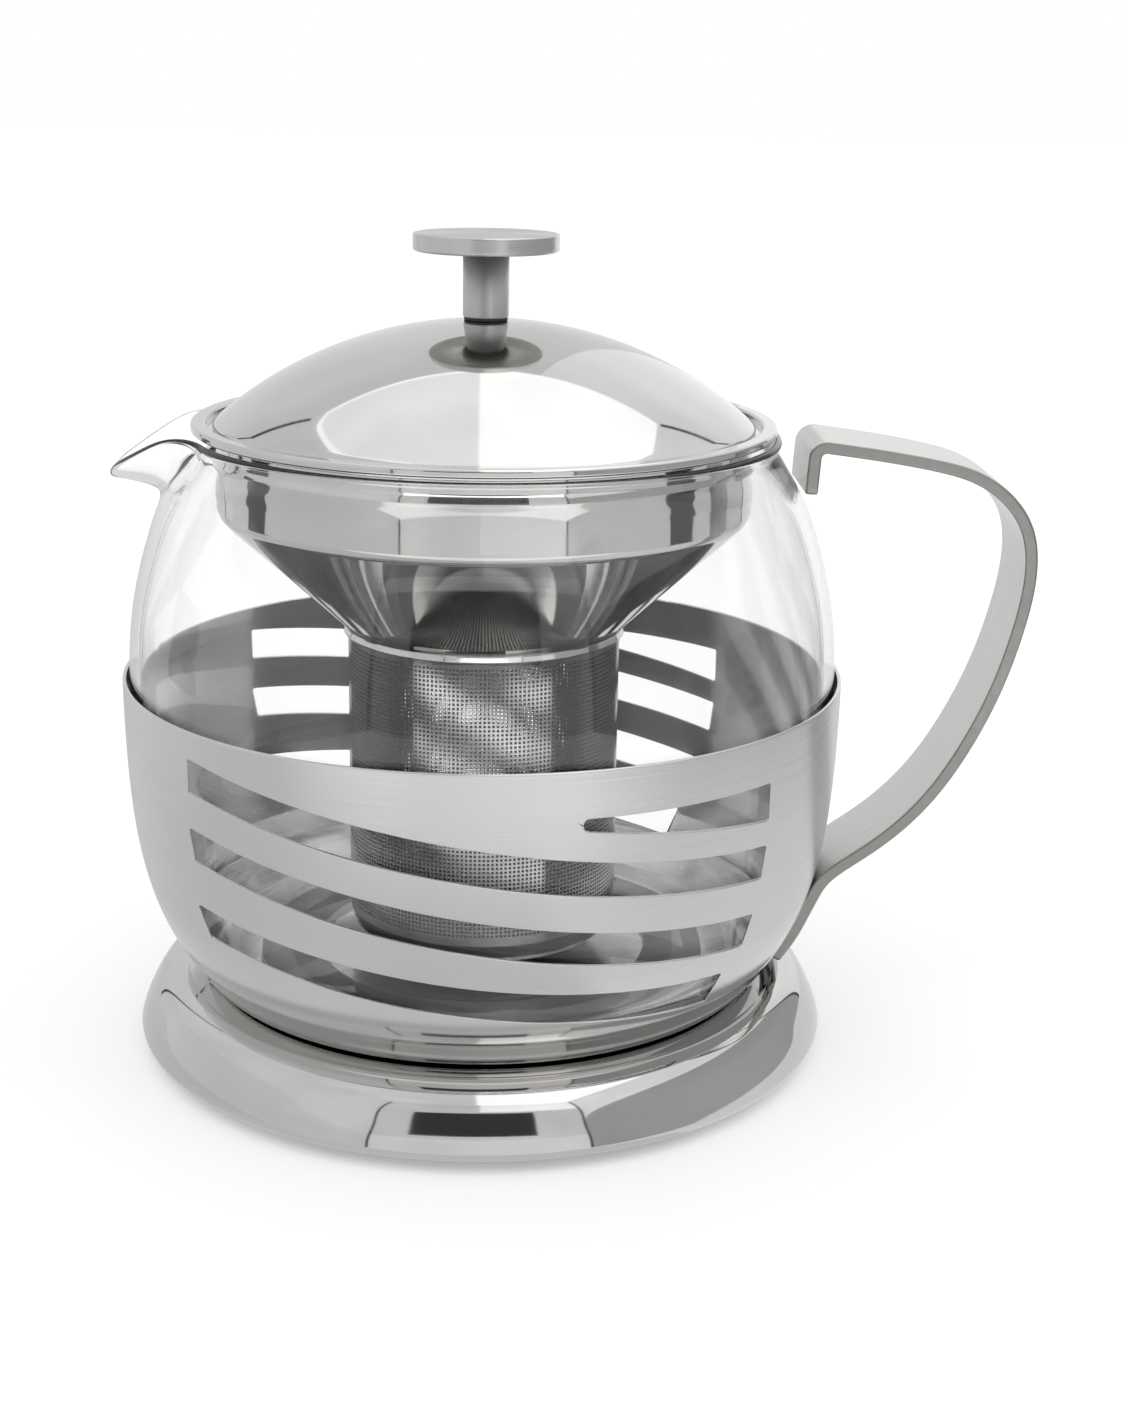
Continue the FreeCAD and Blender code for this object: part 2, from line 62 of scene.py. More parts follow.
GLASS_INSET, GLASS_WALL, GLASS_BOTTOM, GLASS_FLOOR = 1.4, 2.0, 17.0, 2.4
STRAP_W, STRAP_T, REACH = 22.0, 2.5, 109.1
RING_R, RING_LIP, COLLAR_R, COLLAR_LOW = 57.4, 127.8, 53.0, 111.0
TUBE_R, TUBE_TOP, TUBE_LOW, SHEET = 27.4, 86.8, 22.5, 0.6
LID_R, LID_TOP, LID_WALL, SKIRT_R = 53.2, 147.1, 0.8, 50.8
STEM_R, DISC_R, DISC_TOP, DISC_T = 4.5, 14.2, 163.6, 3.4


# ---------------------------------------------------------------- outline helpers
def smooth(points, count):
    """Natural cubic curve through the points, sampled evenly."""
    p = np.array(points, float)
    t = np.concatenate([[0], np.cumsum(np.linalg.norm(np.diff(p, axis=0), axis=1))])
    h = np.diff(t)
    n = len(p)
    a = np.eye(n)
    b = np.zeros_like(p)
    for i in range(1, n - 1):
        a[i, i - 1 : i + 2] = h[i - 1], 2 * (h[i - 1] + h[i]), h[i]
        b[i] = 6 * ((p[i + 1] - p[i]) / h[i] - (p[i] - p[i - 1]) / h[i - 1])
    m = np.linalg.solve(a, b)
    s = np.linspace(0, t[-1], count)
    k = np.clip(np.searchsorted(t, s, side="right") - 1, 0, n - 2)
    left, right, w = (t[k + 1] - s)[:, None], (s - t[k])[:, None], h[k][:, None]
    out = (m[k] * left**3 + m[k + 1] * right**3) / (6 * w)
    out += (p[k] / w - m[k] * w / 6) * left + (p[k + 1] / w - m[k + 1] * w / 6) * right
    return [tuple(q) for q in out]


def rounded(points, loop=True, hold=0.03, steps=5):
    """Rounds each corner that carries a radius, and holds the flats beside it straight."""
    out = []
    count = len(points)
    for i, point in enumerate(points):
        p = np.array(point[:2], float)
        radius = point[2] if len(point) > 2 else 0.0
        if radius == 0.0 or (not loop and i in (0, count - 1)):
            out.append(tuple(p))
            continue
        before = np.array(points[i - 1][:2], float) - p
        after = np.array(points[(i + 1) % count][:2], float) - p
        room = 0.45 * min(np.linalg.norm(before), np.linalg.norm(after))
        u, v = before / np.linalg.norm(before), after / np.linalg.norm(after)
        half = math.acos(max(-1.0, min(1.0, float(u @ v)))) / 2
        turn = math.pi - 2 * half
        if turn < 0.02:
            out.append(tuple(p))
            continue
        run = min(radius * math.tan(turn / 2), room)
        radius = run / math.tan(turn / 2)
        middle = p + (u + v) / np.linalg.norm(u + v) * radius / math.sin(half)
        first, last = p + u * run - middle, p + v * run - middle
        share = np.linspace(0, 1, max(3, int(steps * turn / 1.57) + 2))
        arc = [middle + (first * math.sin((1 - s) * turn) + last * math.sin(s * turn)) / math.sin(turn)
               if turn < 3.1 else middle + first * (1 - s) + last * s for s in share]
        out += [tuple(p + u * (run + hold))] + [tuple(q) for q in arc] + [tuple(p + v * (run + hold))]
    return out


def new_piece(name, verts, faces, body, nodes, slot, recalc=True):
    mesh = bpy.data.meshes.new(name)
    mesh.from_pydata([tuple(c * MM for c in v) for v in verts], [], faces)
    if recalc:
        work = bmesh.new()
        work.from_mesh(mesh)
        bmesh.ops.recalc_face_normals(work, faces=work.faces)
        work.to_mesh(mesh)
        work.free()
    mesh.shade_smooth()
    piece = bpy.data.objects.new(name, mesh)
    bpy.context.scene.collection.objects.link(piece)
    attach(piece, body)
    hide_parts(*nodes)
    return piece


def lathe(name, outline, body, nodes, slot, loop=True):
    """Turns an outline of (radius, height) points round the pot's axis."""
    verts, faces, rings = [], [], []
    for r, z in outline:
        if r < 1e-6:
            rings.append([len(verts)] * ROUND)
            verts.append((0.0, 0.0, z))
        else:
            rings.append(list(range(len(verts), len(verts) + ROUND)))
            for k in range(ROUND):
                a = 2 * math.pi * k / ROUND
                verts.append((r * math.cos(a), r * math.sin(a), z))
    pairs = list(zip(rings, rings[1:]))
    if loop:
        pairs.append((rings[-1], rings[0]))
    for low, high in pairs:
        for k in range(ROUND):
            j = (k + 1) % ROUND
            face = [low[k], low[j], high[j], high[k]]
            face = [f for n, f in enumerate(face) if f != face[n - 1]]
            if len(face) > 2:
                faces.append(face)
    return new_piece(name, verts, faces, body, nodes, slot)


# ---------------------------------------------------------------- wall curves
def casing_radius(z):
    share = 1.0 - (z - SEAT) / CASING_H
    return RIM_R - (RIM_R - FOOT_R) * (0.30 * share**2 + 0.70 * share**4.5)


# ---------------------------------------------------------------- coaster
edge = COASTER_R - 10.0
slope = smooth([
    (edge + 0.9, COASTER_H - 0.5), (edge + 3.2, COASTER_H - 1.3), (COASTER_R - 4.5, COASTER_H - 2.9),
    (COASTER_R - 2.2, COASTER_H - 6.4), (COASTER_R - 0.7, COASTER_H - 9.6),
    (COASTER_R, COASTER_H - 11.8)], 40)
coaster = lathe("coaster_skin", rounded(
    [(0, SEAT), (edge - 0.1, SEAT, 0.5)] + slope[1:]
    + [(COASTER_R - 0.12, COASTER_H - 12.55), (COASTER_R - 0.5, COASTER_H - 13.0),
       (COASTER_R - 1.0, COASTER_H - 13.25), (COASTER_R - 1.6, COASTER_H - 13.3),
       (COASTER_R - 2.6, COASTER_H - 13.3, 0.4),
       (COASTER_R - 2.6, COASTER_H - 11.0, 0.8), (COASTER_R - 6.2, COASTER_H - 4.6, 1.5),
       (edge - 1.0, SEAT - 1.0, 1.5), (0, SEAT - 1.0)], loop=False),
    "coaster", ["coaster"], "steel_polished", loop=False)


# ---------------------------------------------------------------- casing
def slot_outline(middle, drop, left, right, left_lean, right_lean):
    """Outline of one slanted slot in the plane of handle and spout, with small round corners."""
    half, sag, small = SLOT_WIDTH / 2, 1.0, 0.45

    def at(share, side):
        level = middle + drop * (0.5 - share) * 2.0
        return left + (right - left) * share, level + side - sag * (1.0 - (2.0 * share - 1.0) ** 2)

    steps = [k / 60 for k in range(1, 60)]
    top = [at(0, half) + (small,)] + [at(s, half) for s in steps] + [at(1, half) + (small,)]
    end_right, end_left = at(1, -half), at(0, -half)
    low = [(end_right[0] - right_lean, end_right[1], small)]
    for s in reversed(steps):
        x, z = at(s, -half)
        x += left_lean * (1 - s) - right_lean * s
        low.append((x, z))
    low.append((end_left[0] + left_lean, end_left[1], small))
    return top + low


def even(points, step):
    """The closed outline again, with points no further apart than the step."""
    out = []
    for a, b in zip(points, points[1:] + points[:1]):
        parts = max(1, int(math.dist(a, b) / step + 0.5))
        for k in range(parts):
            out.append((a[0] + (b[0] - a[0]) * k / parts, a[1] + (b[1] - a[1]) * k / parts))
    return out


def inside(points, outline):
    """True for each point that lies inside the outline."""
    x, y = points[:, 0][:, None], points[:, 1][:, None]
    a, b = outline, np.roll(outline, -1, axis=0)
    crosses = (a[:, 1] > y) != (b[:, 1] > y)
    with np.errstate(divide="ignore", invalid="ignore"):
        at = a[:, 0] + (y - a[:, 1]) * (b[:, 0] - a[:, 0]) / (b[:, 1] - a[:, 1])
    return (crosses & (x < at)).sum(1) % 2 == 1


def apart(points, outline):
    """Distance of each point from the nearest edge of the outline."""
    a, b = outline, np.roll(outline, -1, axis=0)
    d = b - a
    p = points[:, None, :] - a[None]
    t = np.clip((p * d).sum(2) / np.maximum((d * d).sum(1), 1e-12), 0, 1)
    return np.linalg.norm(p - t[..., None] * d, axis=2).min(1)


def grown(outline, by):
    """The outline with each point moved outwards."""
    p = np.array(outline)
    d = np.roll(p, -1, axis=0) - np.roll(p, 1, axis=0)
    d /= np.linalg.norm(d, axis=1)[:, None]
    area = 0.5 * np.sum(p[:, 0] * np.roll(p[:, 1], -1) - np.roll(p[:, 0], -1) * p[:, 1])
    out = np.stack([d[:, 1], -d[:, 0]], 1) * (1 if area > 0 else -1)
    return p + out * by


TOP_OF_WEDGE = FIRST_SLOT + 7.6
SLOTS = [
    slot_outline(FIRST_SLOT, SLOT_DROP, -53.7, 53.1, 0.1, 0.8),
    slot_outline(FIRST_SLOT - SLOT_PITCH, SLOT_DROP + 0.1, -53.8, 51.1, 1.1, 1.9),
    slot_outline(FIRST_SLOT - 2 * SLOT_PITCH, SLOT_DROP - 1.9, -52.8, 45.6, 2.4, 3.0),
    [(18.2, TOP_OF_WEDGE, 1.15), (53.3, TOP_OF_WEDGE, 0.45), (53.3, TOP_OF_WEDGE - 7.4, 0.45),
     (18.2, TOP_OF_WEDGE - 2.3, 1.1)],
]
SLOTS = [even(rounded(s, hold=0.25, steps=4), 1.1) for s in SLOTS]


def build_casing():
    columns = 288
    wall_low, wall_top, bevel = SEAT + 1.5, CASING_RIM - 0.3, 0.16
    levels = [wall_low + (wall_top - wall_low) * (k / 38) ** 1.15 for k in range(39)]
    verts, faces, normals = [], [], {}
    scale = RIM_R

    def steepness(z):
        return (casing_radius(z + 0.05) - casing_radius(z - 0.05)) / 0.1

    def wall(depth, sign):
        """One face of the wall with the slots left open. Returns its border rings and slot loops."""
        points = []
        grid_index = {}
        for i, z in enumerate(levels):
            for j in range(columns + 1):
                points.append((scale * (2 * math.pi * j / columns - math.pi), z))
                grid_index[i, j] = len(points) - 1
        border = {grid_index[i, j] for i, j in grid_index if i in (0, len(levels) - 1) or j in (0, columns)}
        flat = np.array(points)
        keep = np.ones(len(flat), bool)
        loops = []
        for outline in SLOTS:
            big = grown(outline, bevel)
            for side in (-1, 1):
                radius = np.array([casing_radius(z) - depth for z in big[:, 1]])
                turn = side * np.arccos(big[:, 0] / radius) * scale
                loop = np.stack([turn, big[:, 1]], 1)
                near = np.abs(flat[:, 0] - loop[:, 0].mean()) < np.ptp(loop[:, 0])
                chosen = np.where(near & keep)[0]
                gone = inside(flat[chosen], loop) | (apart(flat[chosen], loop) < 0.75)
                keep[chosen[gone]] = False
                loops.append((outline, side, loop))
        keep[list(border)] = True
        order = [k for k in range(len(points)) if keep[k]]
        place = {k: n for n, k in enumerate(order)}
        flat_points = [points[k] for k in order]
        edges = []
        for i in (0, len(levels) - 1):
            edges += [(place[grid_index[i, j]], place[grid_index[i, j + 1]]) for j in range(columns)]
        for j in (0, columns):
            edges += [(place[grid_index[i, j]], place[grid_index[i + 1, j]]) for i in range(len(levels) - 1)]
        loop_ids = []
        for _, _, loop in loops:
            start = len(flat_points)
            flat_points += [tuple(p) for p in loop]
            ids = list(range(start, len(flat_points)))
            edges += list(zip(ids, ids[1:] + ids[:1]))
            loop_ids.append(ids)
        got, _, triangles, source, _, _ = delaunay_2d_cdt(
            [Vector(p) for p in flat_points], edges, [], 0, 1e-6)
        back = [s[0] if s else -1 for s in source]
        middle = np.array([[sum(got[v][0] for v in t) / 3, sum(got[v][1] for v in t) / 3] for t in triangles])
        open_space = np.zeros(len(middle), bool)
        for _, _, loop in loops:
            open_space |= inside(middle, loop)
        first = len(verts)
        same = {}
        for n, (u, z) in enumerate(flat_points):
            if n < len(order) and order[n] in border and points[order[n]][0] > scale * (math.pi - 1e-6):
                row = [i for i in range(len(levels)) if grid_index[i, columns] == order[n]][0]
                same[n] = place[grid_index[row, 0]]
            a, r = u / scale, casing_radius(z) - depth
            verts.append((r * math.cos(a), r * math.sin(a), z))
            lean = steepness(z)
            size = math.hypot(1, lean)
            normals[len(verts) - 1] = (
                sign * math.cos(a) / size, sign * math.sin(a) / size, -sign * lean / size)
        for t, dropped in zip(triangles, open_space):
            if not dropped:
                face = [first + same.get(back[v], back[v]) for v in t]
                faces.append(face if sign > 0 else face[::-1])
        rings = [[first + place[grid_index[i, j]] for j in range(columns)] for i in (0, len(levels) - 1)]
        return rings, [[first + n for n in ids] for ids in loop_ids], loops

    outer_rings, outer_loops, loops = wall(0.0, 1)
    inner_rings, inner_loops, _ = wall(CASING_WALL, -1)

    def ring(outline, side, depth):
        made = []
        for x, z in outline:
            r = casing_radius(z) - depth
            made.append(len(verts))
            verts.append((x, side * math.sqrt(r * r - x * x), z))
        return made

    def bridge(a, b, flip=False):
        for k in range(len(a)):
            j = (k + 1) % len(a)
            face = [a[k], a[j], b[j], b[k]]
            faces.append(face[::-1] if flip else face)

    for (outline, side, _), outer, inner in zip(loops, outer_loops, inner_loops):
        plain = np.array(outline)
        chain = [outer, ring(grown(plain, 0.3 * bevel), side, 0.3 * bevel), ring(plain, side, bevel),
                 ring(plain, side, CASING_WALL - bevel),
                 ring(grown(plain, 0.3 * bevel), side, CASING_WALL - 0.3 * bevel), inner]
        for a, b in zip(chain, chain[1:]):
            bridge(a, b)

    def turned(r, z):
        made = list(range(len(verts), len(verts) + columns))
        for j in range(columns):
            a = 2 * math.pi * j / columns - math.pi
            verts.append((r * math.cos(a), r * math.sin(a), z))
        return made

    half = CASING_WALL / 2
    chain = [outer_rings[1]]
    for k in range(1, 8):
        a = math.pi * k / 8
        chain.append(turned(RIM_R - half + half * math.cos(a), CASING_RIM - 0.3 + 0.3 * math.sin(a)))
    chain.append(inner_rings[1])
    low_in = casing_radius(wall_low) - CASING_WALL
    foot = smooth([(casing_radius(wall_low), wall_low), (casing_radius(wall_low) - 1.1, SEAT + 0.5),
                   (FOOT_R - 1.6, SEAT + 0.05), (FOOT_R - 2.6, SEAT)], 10)[1:]
    chain_low = [outer_rings[0]] + [turned(r, z) for r, z in foot] + [turned(2.0, SEAT)]
    chain_in = [inner_rings[0], turned(low_in - 0.9, SEAT + 1.05), turned(FOOT_R - 4.0, SEAT + CASING_WALL),
                turned(2.0, SEAT + CASING_WALL)]
    for path in (chain, chain_low, chain_in):
        for a, b in zip(path, path[1:]):
            bridge(a, b)
    for last, z in ((chain_low[-1], SEAT), (chain_in[-1], SEAT + CASING_WALL)):
        verts.append((0, 0, z))
        for k in range(columns):
            faces.append([last[k], last[(k + 1) % columns], len(verts) - 1])
    return verts, faces, normals


def drop_unused(verts, faces, normals):
    used = sorted({v for f in faces for v in f})
    place = {v: n for n, v in enumerate(used)}
    return ([verts[v] for v in used], [[place[v] for v in f] for f in faces],
            {place[v]: n for v, n in normals.items() if v in place})


casing_verts, casing_faces, casing_normals = drop_unused(*build_casing())
casing = new_piece("casing_shell", casing_verts, casing_faces, "pot", ["casing"], "steel_satin")
exact = [casing_normals.get(n, tuple(v.normal)) for n, v in enumerate(casing.data.vertices)]
casing.data.normals_split_custom_set_from_vertices(exact)


# ---------------------------------------------------------------- glass
def glass_profile():
    """(radius, height) up the outside of the glass to just below the neck."""
    points = [(40, GLASS_BOTTOM), (FOOT_R - 9.0, GLASS_BOTTOM), (FOOT_R - 5.6, GLASS_BOTTOM + 0.45),
              (FOOT_R - 2.4, GLASS_BOTTOM + 1.6),
              (FOOT_R + 0.9, GLASS_BOTTOM + 4.2)]
    for k in range(5):
        z = SEAT + 8.0 + (CASING_H - 8.0) * k / 5
        points.append((casing_radius(z) - GLASS_INSET, z))
    low, high, ball = CASING_RIM, MOUTH - 12.2, 84.0
    for k in range(5):
        z = low + (high - low) * k / 4
        points.append((RIM_R - GLASS_INSET - 0.95 * (ball - math.sqrt(ball**2 - (z - low) ** 2)), z))
    return points


NECK = [(MOUTH_R + 1.95, MOUTH - 8.0), (MOUTH_R + 0.30, MOUTH - 5.0), (MOUTH_R - 0.40, MOUTH - 2.9),
        (MOUTH_R - 0.05, MOUTH - 1.7)]


def lip_share(x):
    """0 where the pouring lip leaves the neck and 1 at its tip."""
    return (x - LIP_ROOT) / (SPOUT - LIP_ROOT)


def lip_half_width(x):
    return LIP_HALF - LIP_NARROWS * max(lip_share(x), 0.0) ** 1.6


def lip_edge_height(x):
    return MOUTH - LIP_DROP * max(0.0, (x - LIP_BEND) / LIP_RUN) ** 1.25


def lip_surface(x, y):
    """Height of the underside of the pouring lip at a reach x and a distance y from its middle."""
    share, half, top = lip_share(x), lip_half_width(x), lip_edge_height(x)
    low = MOUTH - LIP_KEEL - LIP_SWEEP * (1.0 - share) ** 2 + 0.4 * share
    rise = max(top - low, 0.3)
    bow = (half**2 + rise**2) / (2 * rise)
    return low + bow - math.sqrt(max(bow**2 - min(abs(y), half) ** 2, 0.0))


def lip_reach(turn):
    """Distance of the lip's rim from the axis at an angle from its middle."""
    low, high = MOUTH_R - 0.9, SPOUT - 0.68
    for _ in range(40):
        middle = (low + high) / 2
        x, y = middle * math.cos(turn), middle * math.sin(turn)
        if x < SPOUT and abs(y) < lip_half_width(min(x, SPOUT)):
            low = middle
        else:
            high = middle
    return low


def build_glass():
    body = smooth(glass_profile() + NECK[:1], 150)
    body = [(0.0, GLASS_BOTTOM), (12.0, GLASS_BOTTOM), (26.0, GLASS_BOTTOM)] + body
    stop = [k for k, p in enumerate(body) if p[1] > 103.0][0]
    fixed, moving = body[:stop], body[stop:]
    neck = moving + smooth([moving[-1]] + NECK[1:], 22)[1:]
    rows = 60

    def spread(path, count):
        p = np.array(path)
        t = np.concatenate([[0], np.cumsum(np.linalg.norm(np.diff(p, axis=0), axis=1))])
        s = np.linspace(0, t[-1], count)
        return np.stack([np.interp(s, t, p[:, 0]), np.interp(s, t, p[:, 1])], 1)

    turns = []
    a = 0.0
    while a < math.pi - 1e-9:
        turns.append(a)
        a += math.radians(0.6 if a < math.radians(LIP_TURN) else 1.5)
    turns = np.array(turns + [math.pi])
    turns = np.concatenate([turns, -turns[-2:0:-1]])
    base = spread(neck, rows)
    column_profiles = []
    for turn in turns:
        share = 1.0 - min(1.0, max(0.0, (abs(math.degrees(turn)) - LIP_FULL) / LIP_FADE))
        share = share * share * (3 - 2 * share)
        profile = base
        if share > 0:
            reach = max(lip_reach(turn), MOUTH_R - 0.2)
            path = []
            for r, z in neck:
                x, y = r * math.cos(turn), r * math.sin(turn)
                if x > LIP_ROOT and abs(y) < lip_half_width(x) and z > lip_surface(x, y) - 0.2:
                    break
                path.append((r, z))
            r = path[-1][0]
            for s in np.linspace(0, 1, 30)[1:]:
                q = r + (reach - r) * s
                path.append((q, max(lip_surface(q * math.cos(turn), q * math.sin(turn)), path[-1][1])))
            lip = spread(path, rows)
            for _ in range(30):
                lip[1:-1] = 0.5 * lip[1:-1] + 0.25 * (lip[:-2] + lip[2:])
            profile = base * (1 - share) + lip * share
        column_profiles.append(profile)
    column_profiles = np.array(column_profiles)
    near = np.abs(turns) < math.radians(LIP_TURN)
    for _ in range(12):
        beside = np.roll(column_profiles, 1, 0) + np.roll(column_profiles, -1, 0)
        column_profiles[near] = (0.5 * column_profiles + 0.25 * beside)[near]
    profiles = np.array([np.vstack([np.array(fixed), p]) for p in column_profiles])
    count, height = len(turns), profiles.shape[1]
    angles = math.pi + turns
    points = np.zeros((count, height, 3))
    points[..., 0] = profiles[..., 0] * np.cos(angles)[:, None]
    points[..., 1] = profiles[..., 0] * np.sin(angles)[:, None]
    points[..., 2] = profiles[..., 1]
    across = np.roll(points, -1, 0) - np.roll(points, 1, 0)
    along = np.zeros_like(points)
    along[:, 1:-1] = points[:, 2:] - points[:, :-2]
    along[:, 0], along[:, -1] = points[:, 1] - points[:, 0], points[:, -1] - points[:, -2]
    out = np.cross(across, along)
    out /= np.maximum(np.linalg.norm(out, axis=2), 1e-9)[..., None]
    out[:, 0] = (0, 0, -1)
    arc = np.cumsum(np.r_[0, np.linalg.norm(np.diff(profiles[0], axis=0), axis=1)])
    back = arc[-1] - arc
    floor = np.clip(1 - (profiles[0][:, 0] - 40) / 12, 0, 1) * (profiles[0][:, 1] < 25)
    thick = GLASS_WALL + (GLASS_FLOOR - GLASS_WALL) * floor - 0.3 * np.clip(1 - back / 9, 0, 1)
    inner = points - out * thick[None, :, None]
    for _ in range(6):
        blend = 0.5 * inner[:, 1:-1] + 0.25 * (inner[:, :-2] + inner[:, 2:])
        zone = (profiles[:, 1:-1, 1] > 105)[..., None]
        inner[:, 1:-1] = np.where(zone, blend, inner[:, 1:-1])
    sheets = [points[:, k] for k in range(height)]
    top_out, top_in = points[:, -1], inner[:, -1]
    middle, arm = (top_out + top_in) / 2, (top_out - top_in) / 2
    rise = along[:, -1] / np.linalg.norm(along[:, -1], axis=1)[:, None]
    size = np.linalg.norm(arm, axis=1)[:, None]
    for k in range(1, 10):
        a = math.pi * k / 10
        sheets.append(middle + arm * math.cos(a) + rise * size * math.sin(a))
    sheets += [inner[:, k] for k in range(height - 1, -1, -1)]
    verts, faces, rings = [], [], []
    for n, sheet in enumerate(sheets):
        if n in (0, len(sheets) - 1):
            rings.append([len(verts)] * count)
            verts.append((0, 0, float(sheet[:, 2].mean())))
        else:
            rings.append(list(range(len(verts), len(verts) + count)))
            verts += [tuple(v) for v in sheet]
    for low, high in zip(rings, rings[1:]):
        for k in range(count):
            j = (k + 1) % count
            face = [low[k], low[j], high[j], high[k]]
            face = [f for i, f in enumerate(face) if f != face[i - 1]]
            faces.append(face)
    return verts, faces


glass = new_piece("glass_wall", *build_glass(), "pot", ["glass_pot"], "clear_glass")


# ---------------------------------------------------------------- handle strap
def build_strap():
    """Outer line of the strap from the hook's end, over the top and down to its foot on the casing,
    then a rounded section swept along it. The foot's inner face follows the casing."""
    face, end, top = 62.4, 115.3, 126.3
    bow = [(REACH - 20.8, 122.4), (REACH - 12.6, 120.0), (REACH - 5.8, 115.4), (REACH - 1.4, 109.0),
           (REACH, 100.0), (REACH - 1.6, 88.6), (REACH - 5.2, 76.1), (REACH - 10.6, 63.8),
           (REACH - 17.9, 52.2), (REACH - 26.6, 43.3), (REACH - 34.6, 37.4)]
    foot = [(casing_radius(z) + STRAP_T + more, z) for z, more in
            ((33.6, 0.25), (32.0, -0.1), (30.2, -0.25), (28.4, -0.3), (24.6, -0.1), (20.8, 0.2), (17.2, 0.4))]
    hook = rounded([(face, end), (face + 0.7, top, 3.6), bow[0][:2]], loop=False, hold=0.4, steps=9)[:-1]
    (x0, z0), (x1, z1) = hook[:2]
    start = [hook[0]] + [(x0 + (x1 - x0) * k / 4, z0 + (z1 - z0) * k / 4) for k in (1, 2, 3)] + hook[1:]
    line = start + smooth([hook[-1]] + bow, 90)[1:-1] + smooth([bow[-1]] + foot, 34)
    p = np.array(line)
    p = np.array([q for k, q in enumerate(p) if k == 0 or np.linalg.norm(q - p[k - 1]) > 1e-3])
    d = np.zeros_like(p)
    d[1:-1], d[0], d[-1] = p[2:] - p[:-2], p[1] - p[0], p[-1] - p[-2]
    d /= np.linalg.norm(d, axis=1)[:, None]
    inward = np.stack([d[:, 1], -d[:, 0]], 1)
    for _ in range(2):
        inward[1:-1] = 0.5 * inward[1:-1] + 0.25 * (inward[:-2] + inward[2:])
    inward /= np.linalg.norm(inward, axis=1)[:, None]
    half, small = STRAP_W / 2, 0.45
    corners = [(-half, 0.0, small), (half, 0.0, small), (half, STRAP_T, small), (-half, STRAP_T, small)]
    section = even(rounded(corners, steps=4, hold=0.12), 1.9)
    verts, faces, rings = [], [], []
    last = len(p) - 1
    for k, (q, n) in enumerate(zip(p, inward)):
        for inset in ((0.45, 0.13, 0.0) if k == 0 else (0.0, 0.13, 0.45) if k == last else (0.0,)):
            along = {0.45: 0.0, 0.13: 0.13, 0.0: 0.45}[inset] if k in (0, last) else 0.0
            move = d[k] * (along if k == 0 else -along if k == last else 0.0)
            ring = []
            for y, depth in section:
                shrink = 1 - inset / half if inset else 1.0
                deep = inset + (STRAP_T - 2 * inset) * depth / STRAP_T if inset else depth
                x, z = q + move + n * deep
                y = y * shrink
                if z < 40 and q[0] < 80:
                    wall = math.sqrt(max(casing_radius(z) ** 2 - y * y, 1.0)) + 0.04
                    outer = (q + move + n * inset)[0]
                    if x < wall or (z < 31 and depth > 0.5 * STRAP_T):
                        share = depth / STRAP_T
                        x = outer + (wall - outer) * share if z < 31 else max(x, wall)
                ring.append(len(verts))
                verts.append((x, y, z))
            rings.append(ring)
    for a, b in zip(rings, rings[1:]):
        for k in range(len(a)):
            j = (k + 1) % len(a)
            faces.append([a[k], a[j], b[j], b[k]])
    faces += [rings[0][::-1], rings[-1]]
    return verts, faces


strap = new_piece("strap_handle", *build_strap(), "pot", ["handle"], "steel_satin")

# ---------------------------------------------------------------- infuser
under = MOUTH - 0.8
ledge = RING_LIP - 1.3
inner_r = COLLAR_R - SHEET
ring = lathe("infuser_ring", rounded([
    (inner_r, under, 0.2), (MOUTH_R - 3.5, under, 0.2), (MOUTH_R - 3.5, MOUTH, 0.2), (RING_R, MOUTH, 0.45),
    (RING_R, RING_LIP, 0.6), (RING_R - 3.0, RING_LIP, 0.5), (RING_R - 3.0, ledge, 0.25),
    (inner_r, ledge, 0.25)]),
    "infuser", ["infuser_rim"], "steel_polished")

neck_r, throat = TUBE_R - SHEET, TUBE_TOP - 1.6
funnel = lathe("infuser_cone", rounded([
    (inner_r - 0.6, under, 0.1), (inner_r - 0.6, under - 2.3, 0.8), (inner_r, under - 4.8, 0.8),
    (inner_r, COLLAR_LOW - 1.2, 2.6), (neck_r + 2.0, TUBE_TOP + 2.2, 2.2), (neck_r, TUBE_TOP - 0.6, 1.6),
    (neck_r, throat, 0.12), (TUBE_R + 1.0, throat, 0.2), (TUBE_R + 0.35, throat + 1.5, 0.6),
    (TUBE_R + 2.2, TUBE_TOP + 1.6, 1.6), (COLLAR_R, COLLAR_LOW - 0.9, 2.4), (COLLAR_R, under - 4.9, 0.8),
    (COLLAR_R - 0.6, under - 2.4, 0.8), (COLLAR_R - 0.6, under, 0.1)]),
    "infuser", ["infuser_funnel"], "steel_polished")

cup_top = TUBE_LOW + 4.6
cup = lathe("infuser_cup_bowl", rounded([
    (0, TUBE_LOW), (TUBE_R - 1.0, TUBE_LOW, 5.0), (TUBE_R, cup_top, 0.12), (TUBE_R - SHEET, cup_top, 0.12),
    (TUBE_R - 1.4, TUBE_LOW + SHEET, 4.2), (0, TUBE_LOW + SHEET)], loop=False, steps=12),
    "infuser", ["infuser_cup"], "steel_polished", loop=False)


